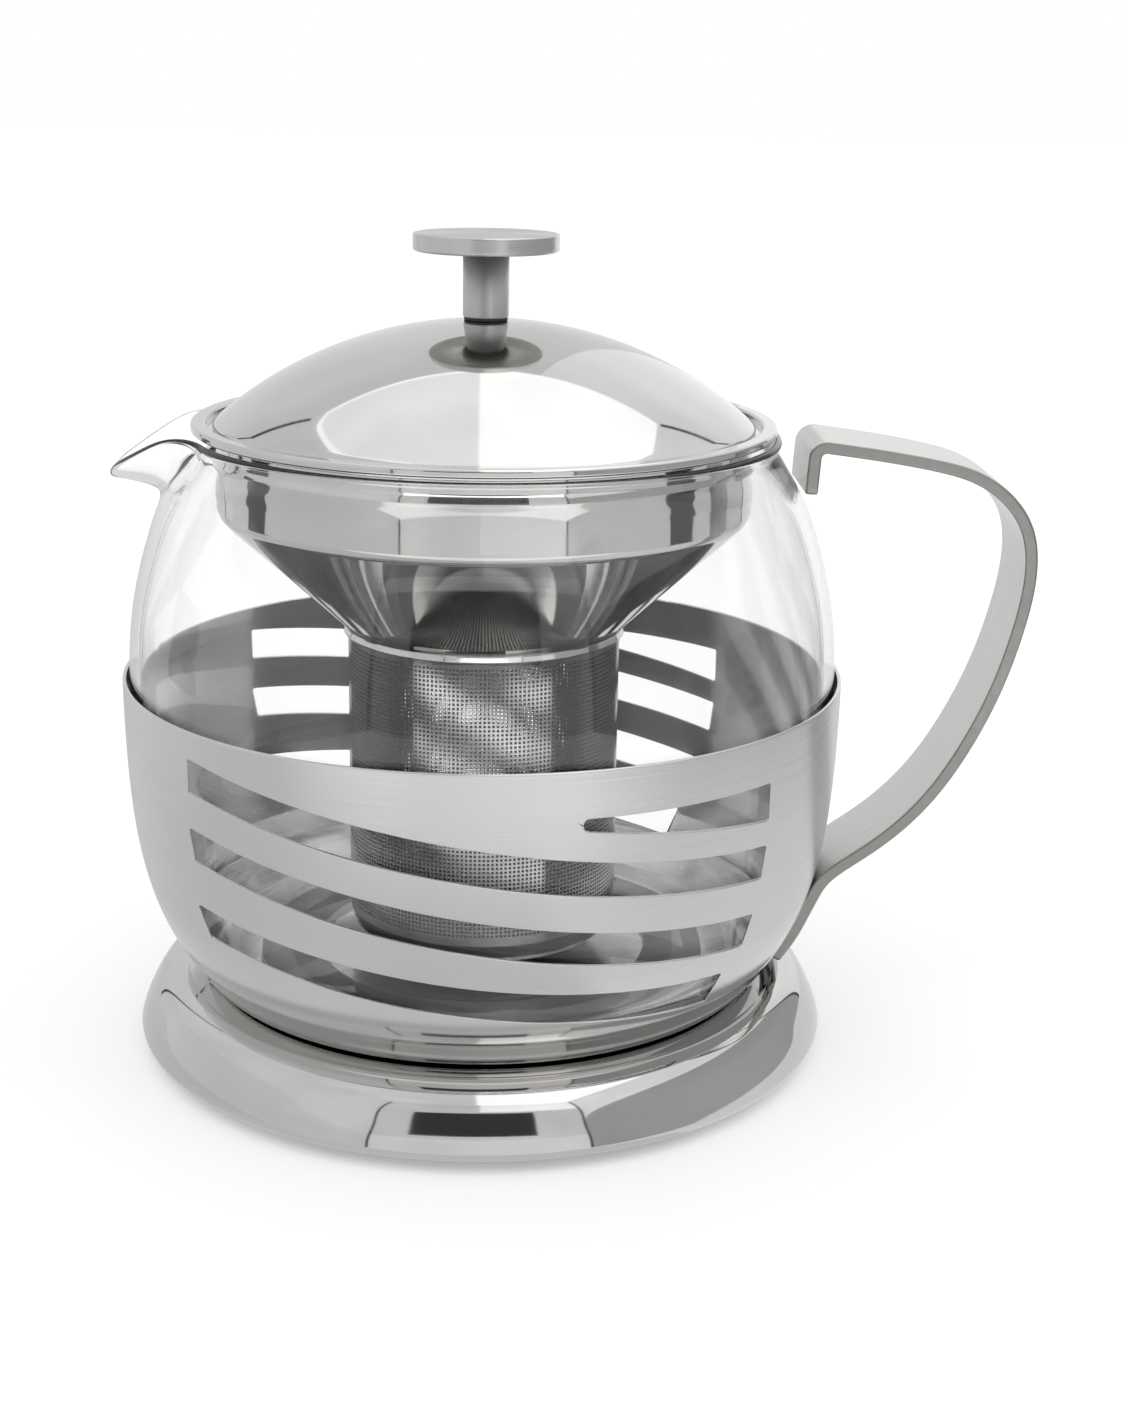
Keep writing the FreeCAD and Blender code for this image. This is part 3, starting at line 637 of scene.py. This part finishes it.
def build_sieve():
    """A sheet rolled into a tube, with a close grid of small square holes right round it."""
    low, high, outer, inner = cup_top, throat, TUBE_R, TUBE_R - 0.4
    around, first_row, rows, share = 200, 1.7, 65, 0.21
    pitch = (high - low - 1.2 - first_row) / rows
    verts, faces, rings = [], [], {}

    def row(z):
        if z not in rings:
            rings[z] = [[], []]
            for side, r in enumerate((outer, inner)):
                for k in range(around):
                    a = 2 * math.pi * k / around
                    rings[z][side].append(len(verts))
                    verts.append((r * math.cos(a), r * math.sin(a), z))
        return rings[z]

    levels = [low] + [low + first_row + pitch * k for k in range(rows + 1)] + [high]
    for n, (a, b) in enumerate(zip(levels, levels[1:])):
        below, above = row(a), row(b)
        for k in range(around):
            j = (k + 1) % around
            if n in (0, len(levels) - 2):
                faces.append([below[0][k], below[0][j], above[0][j], above[0][k]])
                faces.append([above[1][k], above[1][j], below[1][j], below[1][k]])
                continue
            holes = []
            for side, r in enumerate((outer, inner)):
                hole = []
                for u, v in ((share, share), (1 - share, share), (1 - share, 1 - share), (share, 1 - share)):
                    angle = 2 * math.pi * (k + u) / around
                    hole.append(len(verts))
                    verts.append((r * math.cos(angle), r * math.sin(angle), a + (b - a) * v))
                holes.append(hole)
            frames = ([below[0][k], below[0][j], above[0][j], above[0][k]],
                      [below[1][k], below[1][j], above[1][j], above[1][k]])
            for q in range(4):
                w = (q + 1) % 4
                faces.append([frames[0][q], frames[0][w], holes[0][w], holes[0][q]])
                faces.append([frames[1][w], frames[1][q], holes[1][q], holes[1][w]])
                faces.append([holes[0][q], holes[0][w], holes[1][w], holes[1][q]])
    for z, flip in ((low, True), (high, False)):
        a, b = rings[z]
        for k in range(around):
            j = (k + 1) % around
            face = [a[k], a[j], b[j], b[k]]
            faces.append(face[::-1] if flip else face)
    return verts, faces


sieve = new_piece("infuser_sieve", *build_sieve(), "infuser", ["infuser_mesh"], "steel_mesh", recalc=False)
sieve.data.shade_flat()

# ---------------------------------------------------------------- lid and knob
lid_foot = RING_LIP - 1.3
rise = LID_TOP - lid_foot - 0.8
ball = (LID_R**2 + rise**2) / (2 * rise)


def dome_height(r, drop=0.0):
    return LID_TOP - ball + math.sqrt((ball - drop) ** 2 - r * r)


hole, rim_in = 2.2, LID_R - LID_WALL
dome_out = [(r, dome_height(r)) for r in (hole + (LID_R - 0.35 - hole) * k / 60 for k in range(61))]
dome_in = [(r, dome_height(r, LID_WALL)) for r in (rim_in - (rim_in - hole) * k / 50 for k in range(51))]
dome = lathe("lid_dome_shell", dome_out + [
    (LID_R - 0.12, lid_foot + 0.85), (LID_R, lid_foot + 0.55), (LID_R, lid_foot + 0.2),
    (LID_R - 0.1, lid_foot + 0.05), (LID_R - 0.3, lid_foot), (rim_in + 0.1, lid_foot),
    (rim_in, lid_foot + 0.1)] + dome_in,
    "lid", ["lid_dome"], "steel_polished")

skirt_top = dome_height(SKIRT_R, LID_WALL) - 0.2
skirt_low = lid_foot - 11.0
skirt = lathe("lid_skirt_ring", rounded([
    (SKIRT_R - LID_WALL, skirt_top), (SKIRT_R, skirt_top), (SKIRT_R, skirt_low, 0.35),
    (SKIRT_R - LID_WALL, skirt_low, 0.35)]),
    "lid", ["lid_skirt"], "steel_polished")

foot = LID_TOP + 0.5
disc_low = DISC_TOP - DISC_T
stem = lathe("knob_stem_rod", rounded([
    (2.05, foot, 0.1), (STEM_R, foot, 0.35), (STEM_R, disc_low), (STEM_R - 1.6, disc_low),
    (STEM_R - 1.6, disc_low + 1.6), (0, disc_low + 1.6), (0, foot + 7.4),
    (2.05, foot + 7.4)]), "lid", ["knob_stem"], "steel_turned")
disc = lathe("knob_disc_plate", rounded([
    (STEM_R - 1.58, disc_low), (DISC_R, disc_low, 0.55), (DISC_R, DISC_TOP, 0.35), (0, DISC_TOP),
    (0, disc_low + 1.62), (STEM_R - 1.58, disc_low + 1.62)]), "lid", ["knob_disc"], "steel_turned")


# ---------------------------------------------------------------- materials
def put(node, socket, value):
    node.inputs[socket].default_value = value


def nodes_of(name):
    material = bpy.data.materials.new(name)
    material.use_nodes = True
    tree = material.node_tree
    return material, tree, tree.nodes["Principled BSDF"]


def metal_nodes(name):
    material, tree, shader = nodes_of(name)
    put(shader, "Metallic", 1.0)
    return material, tree, shader


def link(tree, a, b):
    tree.links.new(a, b)


def calc(tree, operation, *values):
    """A Math node over sockets or plain numbers."""
    node = tree.nodes.new("ShaderNodeMath")
    node.operation = operation
    for value, socket in zip(values, node.inputs):
        if isinstance(value, (int, float)):
            socket.default_value = value
        else:
            link(tree, value, socket)
    return node.outputs[0]


def scaled_coords(tree, scale):
    coords = tree.nodes.new("ShaderNodeTexCoord")
    mapping = tree.nodes.new("ShaderNodeMapping")
    put(mapping, "Scale", scale)
    link(tree, coords.outputs["Object"], mapping.inputs["Vector"])
    return mapping.outputs["Vector"]


def noise(tree, vector, detail=2.0, rough=0.5):
    node = tree.nodes.new("ShaderNodeTexNoise")
    put(node, "Scale", 1.0)
    put(node, "Detail", detail)
    put(node, "Roughness", rough)
    link(tree, vector, node.inputs["Vector"])
    return node.outputs["Fac"]


def ranged(tree, source, low, high, from_low=0.3, from_high=0.7):
    node = tree.nodes.new("ShaderNodeMapRange")
    node.inputs["From Min"].default_value, node.inputs["From Max"].default_value = from_low, from_high
    node.inputs["To Min"].default_value, node.inputs["To Max"].default_value = low, high
    link(tree, source, node.inputs["Value"])
    return node.outputs["Result"]


def tinted(tree, factor, dark, light):
    node = tree.nodes.new("ShaderNodeMix")
    node.data_type = "RGBA"
    put(node, "A", (*dark, 1))
    put(node, "B", (*light, 1))
    link(tree, factor, node.inputs["Factor"])
    return node.outputs["Result"]


def bumped(tree, height, distance, strength, below=None):
    node = tree.nodes.new("ShaderNodeBump")
    put(node, "Distance", distance)
    put(node, "Strength", strength)
    link(tree, height, node.inputs["Height"])
    if below is not None:
        link(tree, below, node.inputs["Normal"])
    return node.outputs["Normal"]


def radius_coords(tree, across, up):
    """Coordinates that change only with distance from the pot's axis and with height."""
    coords = tree.nodes.new("ShaderNodeTexCoord")
    flat = tree.nodes.new("ShaderNodeVectorMath")
    flat.operation = "MULTIPLY"
    put(flat, 1, (1, 1, 0))
    link(tree, coords.outputs["Object"], flat.inputs[0])
    length = tree.nodes.new("ShaderNodeVectorMath")
    length.operation = "LENGTH"
    link(tree, flat.outputs["Vector"], length.inputs[0])
    parts = tree.nodes.new("ShaderNodeSeparateXYZ")
    link(tree, coords.outputs["Object"], parts.inputs[0])
    joined = tree.nodes.new("ShaderNodeCombineXYZ")
    link(tree, calc(tree, "MULTIPLY", length.outputs["Value"], across), joined.inputs["X"])
    link(tree, calc(tree, "MULTIPLY", parts.outputs["Z"], up), joined.inputs["Y"])
    return joined.outputs["Vector"]


STEEL_DARK, STEEL_LIGHT = (0.60, 0.592, 0.582), (0.66, 0.653, 0.643)


def polished_steel(name):
    material, tree, shader = metal_nodes(name)
    smears = noise(tree, scaled_coords(tree, (60, 60, 90)), detail=4.0)
    link(tree, ranged(tree, smears, 0.035, 0.075), shader.inputs["Roughness"])
    link(tree, tinted(tree, smears, STEEL_DARK, STEEL_LIGHT), shader.inputs["Base Color"])
    spun = noise(tree, radius_coords(tree, 900, 900), detail=1.0)
    fine = bumped(tree, spun, 0.0000015, 0.35)
    soft = noise(tree, scaled_coords(tree, (22, 22, 22)), detail=1.0)
    link(tree, bumped(tree, soft, 0.00002, 0.5, fine), shader.inputs["Normal"])
    return material


def satin_steel(name, scale, blur=(0.26, 0.36), shades=((0.65, 0.646, 0.640), (0.70, 0.696, 0.690)),
                radial=True, polished_below=None):
    """Brushed sheet. The scale is small along the brushing and large across it. Between the two heights
    of polished_below, in metres, polish gives way to the brushing."""
    material, tree, shader = metal_nodes(name)
    lines = noise(tree, scaled_coords(tree, scale), detail=3.0, rough=0.6)
    patches = noise(tree, scaled_coords(tree, (25, 25, 35)), detail=2.0)
    rough = ranged(tree, lines, *blur)
    if polished_below:
        parts = tree.nodes.new("ShaderNodeSeparateXYZ")
        link(tree, scaled_coords(tree, (1, 1, 1)), parts.inputs[0])
        rise = ranged(tree, parts.outputs["Z"], 0.0, 1.0, *polished_below)
        blend = tree.nodes.new("ShaderNodeMix")
        put(blend, "A", POLISH_BLUR)
        link(tree, rise, blend.inputs["Factor"])
        link(tree, rough, blend.inputs["B"])
        rough = blend.outputs["Result"]
    link(tree, rough, shader.inputs["Roughness"])
    link(tree, tinted(tree, patches, *shades), shader.inputs["Base Color"])
    link(tree, bumped(tree, lines, 0.000003, 0.2), shader.inputs["Normal"])
    if radial:
        turn_highlights(tree, shader, 0.70)
    return material


def turn_highlights(tree, shader, amount):
    """Draws highlights out across brushing that runs round the pot's axis."""
    put(shader, "Anisotropic", amount)
    put(shader, "Anisotropic Rotation", 0.25)
    tangent = tree.nodes.new("ShaderNodeTangent")
    tangent.direction_type = "RADIAL"
    tangent.axis = "Z"
    link(tree, tangent.outputs["Tangent"], shader.inputs["Tangent"])


def turned_steel(name, blur=(0.24, 0.34)):
    material, tree, shader = metal_nodes(name)
    rings = noise(tree, radius_coords(tree, 4200, 2600), detail=2.0, rough=0.6)
    link(tree, ranged(tree, rings, *blur), shader.inputs["Roughness"])
    link(tree, tinted(tree, rings, (0.54, 0.535, 0.525), (0.62, 0.615, 0.605)), shader.inputs["Base Color"])
    link(tree, bumped(tree, rings, 0.000003, 0.25), shader.inputs["Normal"])
    turn_highlights(tree, shader, 0.75)
    return material


def sieve_steel(name, shades=((0.62, 0.615, 0.605), (0.70, 0.695, 0.685)), blur=(0.12, 0.22)):
    material, tree, shader = metal_nodes(name)
    patches = noise(tree, scaled_coords(tree, (140, 140, 90)), detail=3.0)
    link(tree, ranged(tree, patches, *blur), shader.inputs["Roughness"])
    link(tree, tinted(tree, patches, *shades), shader.inputs["Base Color"])
    return material


def clear_glass(name):
    material, tree, shader = nodes_of(name)
    put(shader, "Transmission Weight", 1.0)
    put(shader, "IOR", 1.47)
    put(shader, "Base Color", (0.992, 0.992, 0.990, 1))
    ripple = noise(tree, scaled_coords(tree, (16, 16, 30)), detail=1.0)
    link(tree, bumped(tree, ripple, 0.00003, 0.35), shader.inputs["Normal"])
    film = noise(tree, scaled_coords(tree, (70, 70, 45)), detail=3.0)
    link(tree, ranged(tree, film, 0.0, 0.012, 0.45, 0.75), shader.inputs["Roughness"])
    clear = tree.nodes.new("ShaderNodeBsdfTransparent")
    put(clear, "Color", (0.94, 0.94, 0.94, 1))
    path = tree.nodes.new("ShaderNodeLightPath")
    mixed = tree.nodes.new("ShaderNodeMixShader")
    link(tree, path.outputs["Is Shadow Ray"], mixed.inputs["Fac"])
    link(tree, shader.outputs["BSDF"], mixed.inputs[1])
    link(tree, clear.outputs["BSDF"], mixed.inputs[2])
    link(tree, mixed.outputs["Shader"], tree.nodes["Material Output"].inputs["Surface"])
    return material


def soft_rubber(name, dark, light, clear=0.0):
    material, tree, shader = nodes_of(name)
    grain = noise(tree, scaled_coords(tree, (900, 900, 900)), detail=3.0)
    link(tree, tinted(tree, grain, dark, light), shader.inputs["Base Color"])
    link(tree, ranged(tree, grain, 0.55, 0.8), shader.inputs["Roughness"])
    link(tree, bumped(tree, grain, 0.00004, 0.3), shader.inputs["Normal"])
    put(shader, "Transmission Weight", clear)
    return material


polished = polished_steel("steel_polished")
satin = satin_steel("steel_satin", (14, 14, 3600), polished_below=(0.024, 0.037))
satin_inside = satin_steel("steel_satin_inside", (14, 14, 3600), (0.16, 0.24),
                           ((0.66, 0.655, 0.648), (0.71, 0.705, 0.698)))
satin_strap = satin_steel("steel_satin_strap", (60, 3200, 60), radial=False)
# painted shade: the strap's cut edges are the same steel, coloured far darker for the shade they show facing
# sideways
cut_edge_painted_shade = satin_steel("steel_cut_edge_painted_shade", (700, 60, 700), (0.30, 0.42),
                       ((0.30, 0.292, 0.28), (0.40, 0.392, 0.378)), radial=False)
turned = turned_steel("steel_turned")
turned_stem = turned_steel("steel_turned_stem", (0.38, 0.50))
sieve_sheet = sieve_steel("steel_mesh")
# painted shade: the cup is polished steel, coloured dark here for the shade it sits in at the bottom of the
# tube
cup_painted_shade = sieve_steel("steel_cup_painted_shade", ((0.34, 0.336, 0.33), (0.42, 0.414, 0.406)), (0.16, 0.26))
# painted shade: the sieve's inner face is steel too, coloured near black for the shade inside the tube
sieve_inside_painted_shade = sieve_steel("steel_mesh_inside_painted_shade", ((0.07, 0.068, 0.066), (0.12, 0.118, 0.115)), (0.35, 0.5))
crystal = clear_glass("clear_glass")
black_rubber = soft_rubber("rubber_dark", (0.018, 0.018, 0.018), (0.035, 0.034, 0.033))
silicone = soft_rubber("silicone", (0.72, 0.72, 0.71), (0.85, 0.85, 0.84), 0.3)

for piece, material in (
    (coaster, polished), (casing, satin), (glass, crystal), (strap, satin_strap), (ring, polished),
    (funnel, polished), (cup, cup_painted_shade), (sieve, sieve_sheet), (dome, polished), (skirt, polished),
    (stem, turned_stem), (disc, turned),
    (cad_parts["coaster_pad"], black_rubber), (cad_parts["glass_cushion"], silicone),
    (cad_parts["knob_gasket"], black_rubber), (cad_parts["lid_washer"], polished),
    (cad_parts["lid_screw"], turned),
):
    piece.data.materials.clear()
    piece.data.materials.append(material)
strap.data.materials.append(cut_edge_painted_shade)
# second materials: the sieve's inside, with painted shade; the casing's inside and floor; and the strap's cut
# edges, with painted shade
for piece, inner in ((sieve, sieve_inside_painted_shade), (casing, satin_inside)):
    piece.data.materials.append(inner)
    for face in piece.data.polygons:
        out = face.normal.x * face.center.x + face.normal.y * face.center.y
        reach = math.hypot(face.center.x, face.center.y)
        if piece is sieve:
            inward = out < 0.5 * reach
        else:
            inward = out < -0.3 * reach or (reach < (FOOT_R + 3.4) * MM and face.normal.z > 0.3)
        face.material_index = int(inward)
# the strap's side faces take its second material, the painted shade of its cut edges
for face in strap.data.polygons:
    face.material_index = int(abs(face.normal.y) > 0.6)


# ---------------------------------------------------------------- studio
def stage_mesh(name, verts, faces):
    mesh = bpy.data.meshes.new(name)
    mesh.from_pydata(verts, [], faces)
    thing = bpy.data.objects.new(name, mesh)
    bpy.context.scene.collection.objects.link(thing)
    return thing


def seen_by_eye(tree):
    """1 for straight views, also by way of metal or glass, and 0 for the light that falls on things."""
    path = tree.nodes.new("ShaderNodeLightPath").outputs
    direct = calc(tree, "MAXIMUM", path["Is Camera Ray"], path["Is Glossy Ray"])
    return calc(tree, "MAXIMUM", direct, path["Is Transmission Ray"])


def reflected_only(tree, behind_glass=False):
    """1 for rays that have met a shiny surface, and with behind_glass only for those that have also
    passed through glass. 0 for straight views, also through glass."""
    path = tree.nodes.new("ShaderNodeLightPath").outputs
    least = calc(tree, "MINIMUM", path["Glossy Depth"], path["Transmission Depth"] if behind_glass else 1.0)
    return calc(tree, "GREATER_THAN", least, 0.5)


def glow(name, strength, behind_glass):
    material = bpy.data.materials.new(name)
    material.use_nodes = True
    tree = material.node_tree
    tree.nodes.clear()
    lamp = tree.nodes.new("ShaderNodeEmission")
    cloth = noise(tree, scaled_coords(tree, (5, 5, 5)), detail=1.0)
    link(tree, ranged(tree, cloth, 0.93 * strength, 1.07 * strength), lamp.inputs["Strength"])
    clear = tree.nodes.new("ShaderNodeBsdfTransparent")
    mixed = tree.nodes.new("ShaderNodeMixShader")
    link(tree, reflected_only(tree, behind_glass), mixed.inputs["Fac"])
    link(tree, clear.outputs["BSDF"], mixed.inputs[1])
    link(tree, lamp.outputs["Emission"], mixed.inputs[2])
    out = tree.nodes.new("ShaderNodeOutputMaterial")
    link(tree, mixed.outputs["Shader"], out.inputs["Surface"])
    return material


def board(name, corners, strength, behind_glass=False):
    """A flat board of the light tent. Only reflections see it."""
    thing = stage_mesh(name, corners, [tuple(range(len(corners)))])
    thing.data.materials.append(glow(name, strength, behind_glass))
    thing.visible_camera = False
    thing.visible_shadow = False
    thing.visible_diffuse = False
    return thing


def upright_x(name, x, y0, y1, z0, z1, strength, behind_glass=False):
    return board(name, [(x, y0, z0), (x, y1, z0), (x, y1, z1), (x, y0, z1)], strength, behind_glass)


def upright_y(name, y, x0, x1, z0, z1, strength, behind_glass=False):
    return board(name, [(x0, y, z0), (x1, y, z0), (x1, y, z1), (x0, y, z1)], strength, behind_glass)


def level(name, z, x0, x1, y0, y1, strength):
    return board(name, [(x0, y0, z), (x1, y0, z), (x1, y1, z), (x0, y1, z)], strength)


FAR, FLOOR_LIFT = 6.0, 0.30
floor = stage_mesh("floor", [(-FAR, -FAR, 0), (FAR, -FAR, 0), (FAR, FAR, 0), (-FAR, FAR, 0)], [(0, 1, 2, 3)])
paint, tree, shader = nodes_of("floor_white")
put(shader, "Base Color", (0.86, 0.86, 0.86, 1))
put(shader, "Roughness", 0.7)
put(shader, "Specular IOR Level", 0.1)
backing = tree.nodes.new("ShaderNodeEmission")
link(tree, calc(tree, "MULTIPLY", seen_by_eye(tree), FLOOR_LIFT), backing.inputs["Strength"])
both = tree.nodes.new("ShaderNodeAddShader")
link(tree, shader.outputs["BSDF"], both.inputs[0])
link(tree, backing.outputs["Emission"], both.inputs[1])
link(tree, both.outputs["Shader"], tree.nodes["Material Output"].inputs["Surface"])
floor.data.materials.append(paint)

world = bpy.data.worlds.new("studio")
bpy.context.scene.world = world
world.use_nodes = True
tree = world.node_tree
tree.nodes.clear()
shade = tree.nodes.new("ShaderNodeMix")
shade.data_type = "RGBA"
put(shade, "A", (0.90, 0.90, 0.90, 1))
put(shade, "B", (1, 1, 1, 1))
link(tree, seen_by_eye(tree), shade.inputs["Factor"])
sky = tree.nodes.new("ShaderNodeBackground")
link(tree, shade.outputs["Result"], sky.inputs["Color"])
out = tree.nodes.new("ShaderNodeOutputWorld")
link(tree, sky.outputs["Background"], out.inputs["Surface"])

# The light tent: a box of cloth with a seam in each corner, a dark way in at the front and lighter
# panels in its top. Each board's last number is its brightness.
SIDE, BACK, FRONT, TOP, SEAM = 0.30, 0.28, -0.47, 0.53, 0.014
upright_x("tent_left_low", -SIDE, FRONT, BACK, 0.0, 0.12, 0.76)
upright_x("tent_left_high", -SIDE, FRONT, BACK, 0.12, TOP, 0.80)
upright_x("tent_right_low", SIDE, FRONT, BACK, 0.0, 0.24, 0.44)
upright_x("tent_right_foot", SIDE - 0.002, FRONT, BACK, 0.0, 0.09, 0.66, behind_glass=True)
upright_x("tent_right_high", SIDE, FRONT, BACK, 0.24, TOP, 1.00)
upright_y("tent_back_left", BACK, -SIDE, 0.08, 0.0, TOP, 0.78)
upright_y("tent_back_right", BACK, 0.08, SIDE, 0.0, TOP, 1.00)
upright_y("tent_front_low", FRONT, -SIDE, SIDE, 0.0, 0.14, 0.88)
upright_y("tent_front_left", FRONT, -SIDE, 0.0, 0.14, TOP, 0.76)
upright_y("tent_front_right_low", FRONT, 0.0, SIDE, 0.14, 0.33, 0.78)
upright_y("tent_front_right_high", FRONT, 0.0, SIDE, 0.33, TOP, 1.30)
level("tent_top", TOP, -SIDE, SIDE, FRONT, BACK, 0.84)
level("panel_right", TOP - 0.003, -0.01, SIDE, FRONT, BACK, 1.65)
outline = smooth([(-0.01, -0.12), (-0.12, -0.09), (-0.20, -0.02), (-0.262, 0.07), (-0.290, 0.18),
                  (-0.291, 0.24), (-0.270, 0.27)], 25) + [(-0.01, 0.275)]
board("panel_left", [(x, y, TOP - 0.003) for x, y in outline], 1.20)
HEM = 0.012  # width of the light edge round the left panel
for k, (a, b) in enumerate(zip(outline[6:], outline[7:])):
    dx, dy = b[0] - a[0], b[1] - a[1]
    inward = (dy / math.hypot(dx, dy) * HEM, -dx / math.hypot(dx, dy) * HEM)
    board("panel_rim_%02d" % k, [(x, y, TOP - 0.005) for x, y in (
        a, b, (b[0] + inward[0], b[1] + inward[1]), (a[0] + inward[0], a[1] + inward[1]))], 1.5)
for side, name in ((-1, "left"), (1, "right")):
    x = side * (SIDE - 0.004)
    upright_x("seam_back_" + name, x, BACK - SEAM, BACK, 0.0, TOP - 0.02, 0.06)
    upright_x("seam_front_" + name, x, FRONT, FRONT + SEAM, 0.0, TOP - 0.02, 0.06)
upright_y("way_in", -0.45, -0.175, 0.140, 0.160, 0.292, 0.05)
tie_half = [(0.042, 0.030), (0.042, 0.050), (0.035, 0.058), (0.031, 0.061), (0.038, 0.067), (0.042, 0.072),
            (0.042, 0.110)]
for side, middle in ((-1, 0.053), (1, -0.04)):
    board("tie_%+d" % side, [(side * (SIDE - 0.005), middle + y, z) for y, z in (
        tie_half + [(-y, z) for y, z in tie_half[::-1]])], 0.02, behind_glass=True)
upright_y("lamp_front", FRONT + 0.004, -SIDE, SIDE, 0.305, 0.365, 2.2, behind_glass=True)
level("cloth_front", 0.0010, -SIDE, SIDE, FRONT, -0.20, 1.30)
level("cloth_left", 0.0008, -SIDE, 0.04, -0.20, BACK, 0.68)
level("cloth_right", 0.0008, 0.04, SIDE, -0.20, BACK, 0.84)


def lamp(name, place, size, power):
    data = bpy.data.lights.new(name, "AREA")
    data.shape = "RECTANGLE"
    data.size, data.size_y = size
    data.energy = power
    thing = bpy.data.objects.new(name, data)
    thing.location = place
    thing.rotation_euler = (Vector((0, 0, 0.07)) - Vector(place)).to_track_quat("-Z", "Y").to_euler()
    bpy.context.scene.collection.objects.link(thing)
    thing.visible_glossy = False
    return thing


lamp("key", (-0.5, -0.6, 0.9), (0.5, 0.4), 0.6)
lamp("fill", (0.6, -0.3, 0.7), (0.5, 0.5), 0.4)

# ---------------------------------------------------------------- camera
camera = bpy.data.objects.new("camera", bpy.data.cameras.new("camera"))
bpy.context.scene.collection.objects.link(camera)
camera.location = (0.00366, -0.43245, 0.19538)
camera.rotation_euler = [math.radians(a) for a in (73.82, -0.876, -1.355)]
camera.data.lens = 56.53
camera.data.sensor_width = 36.0
camera.data.clip_start, camera.data.clip_end = 0.01, 50.0
bpy.context.scene.camera = camera
bpy.context.scene.view_settings.view_transform = "Standard"
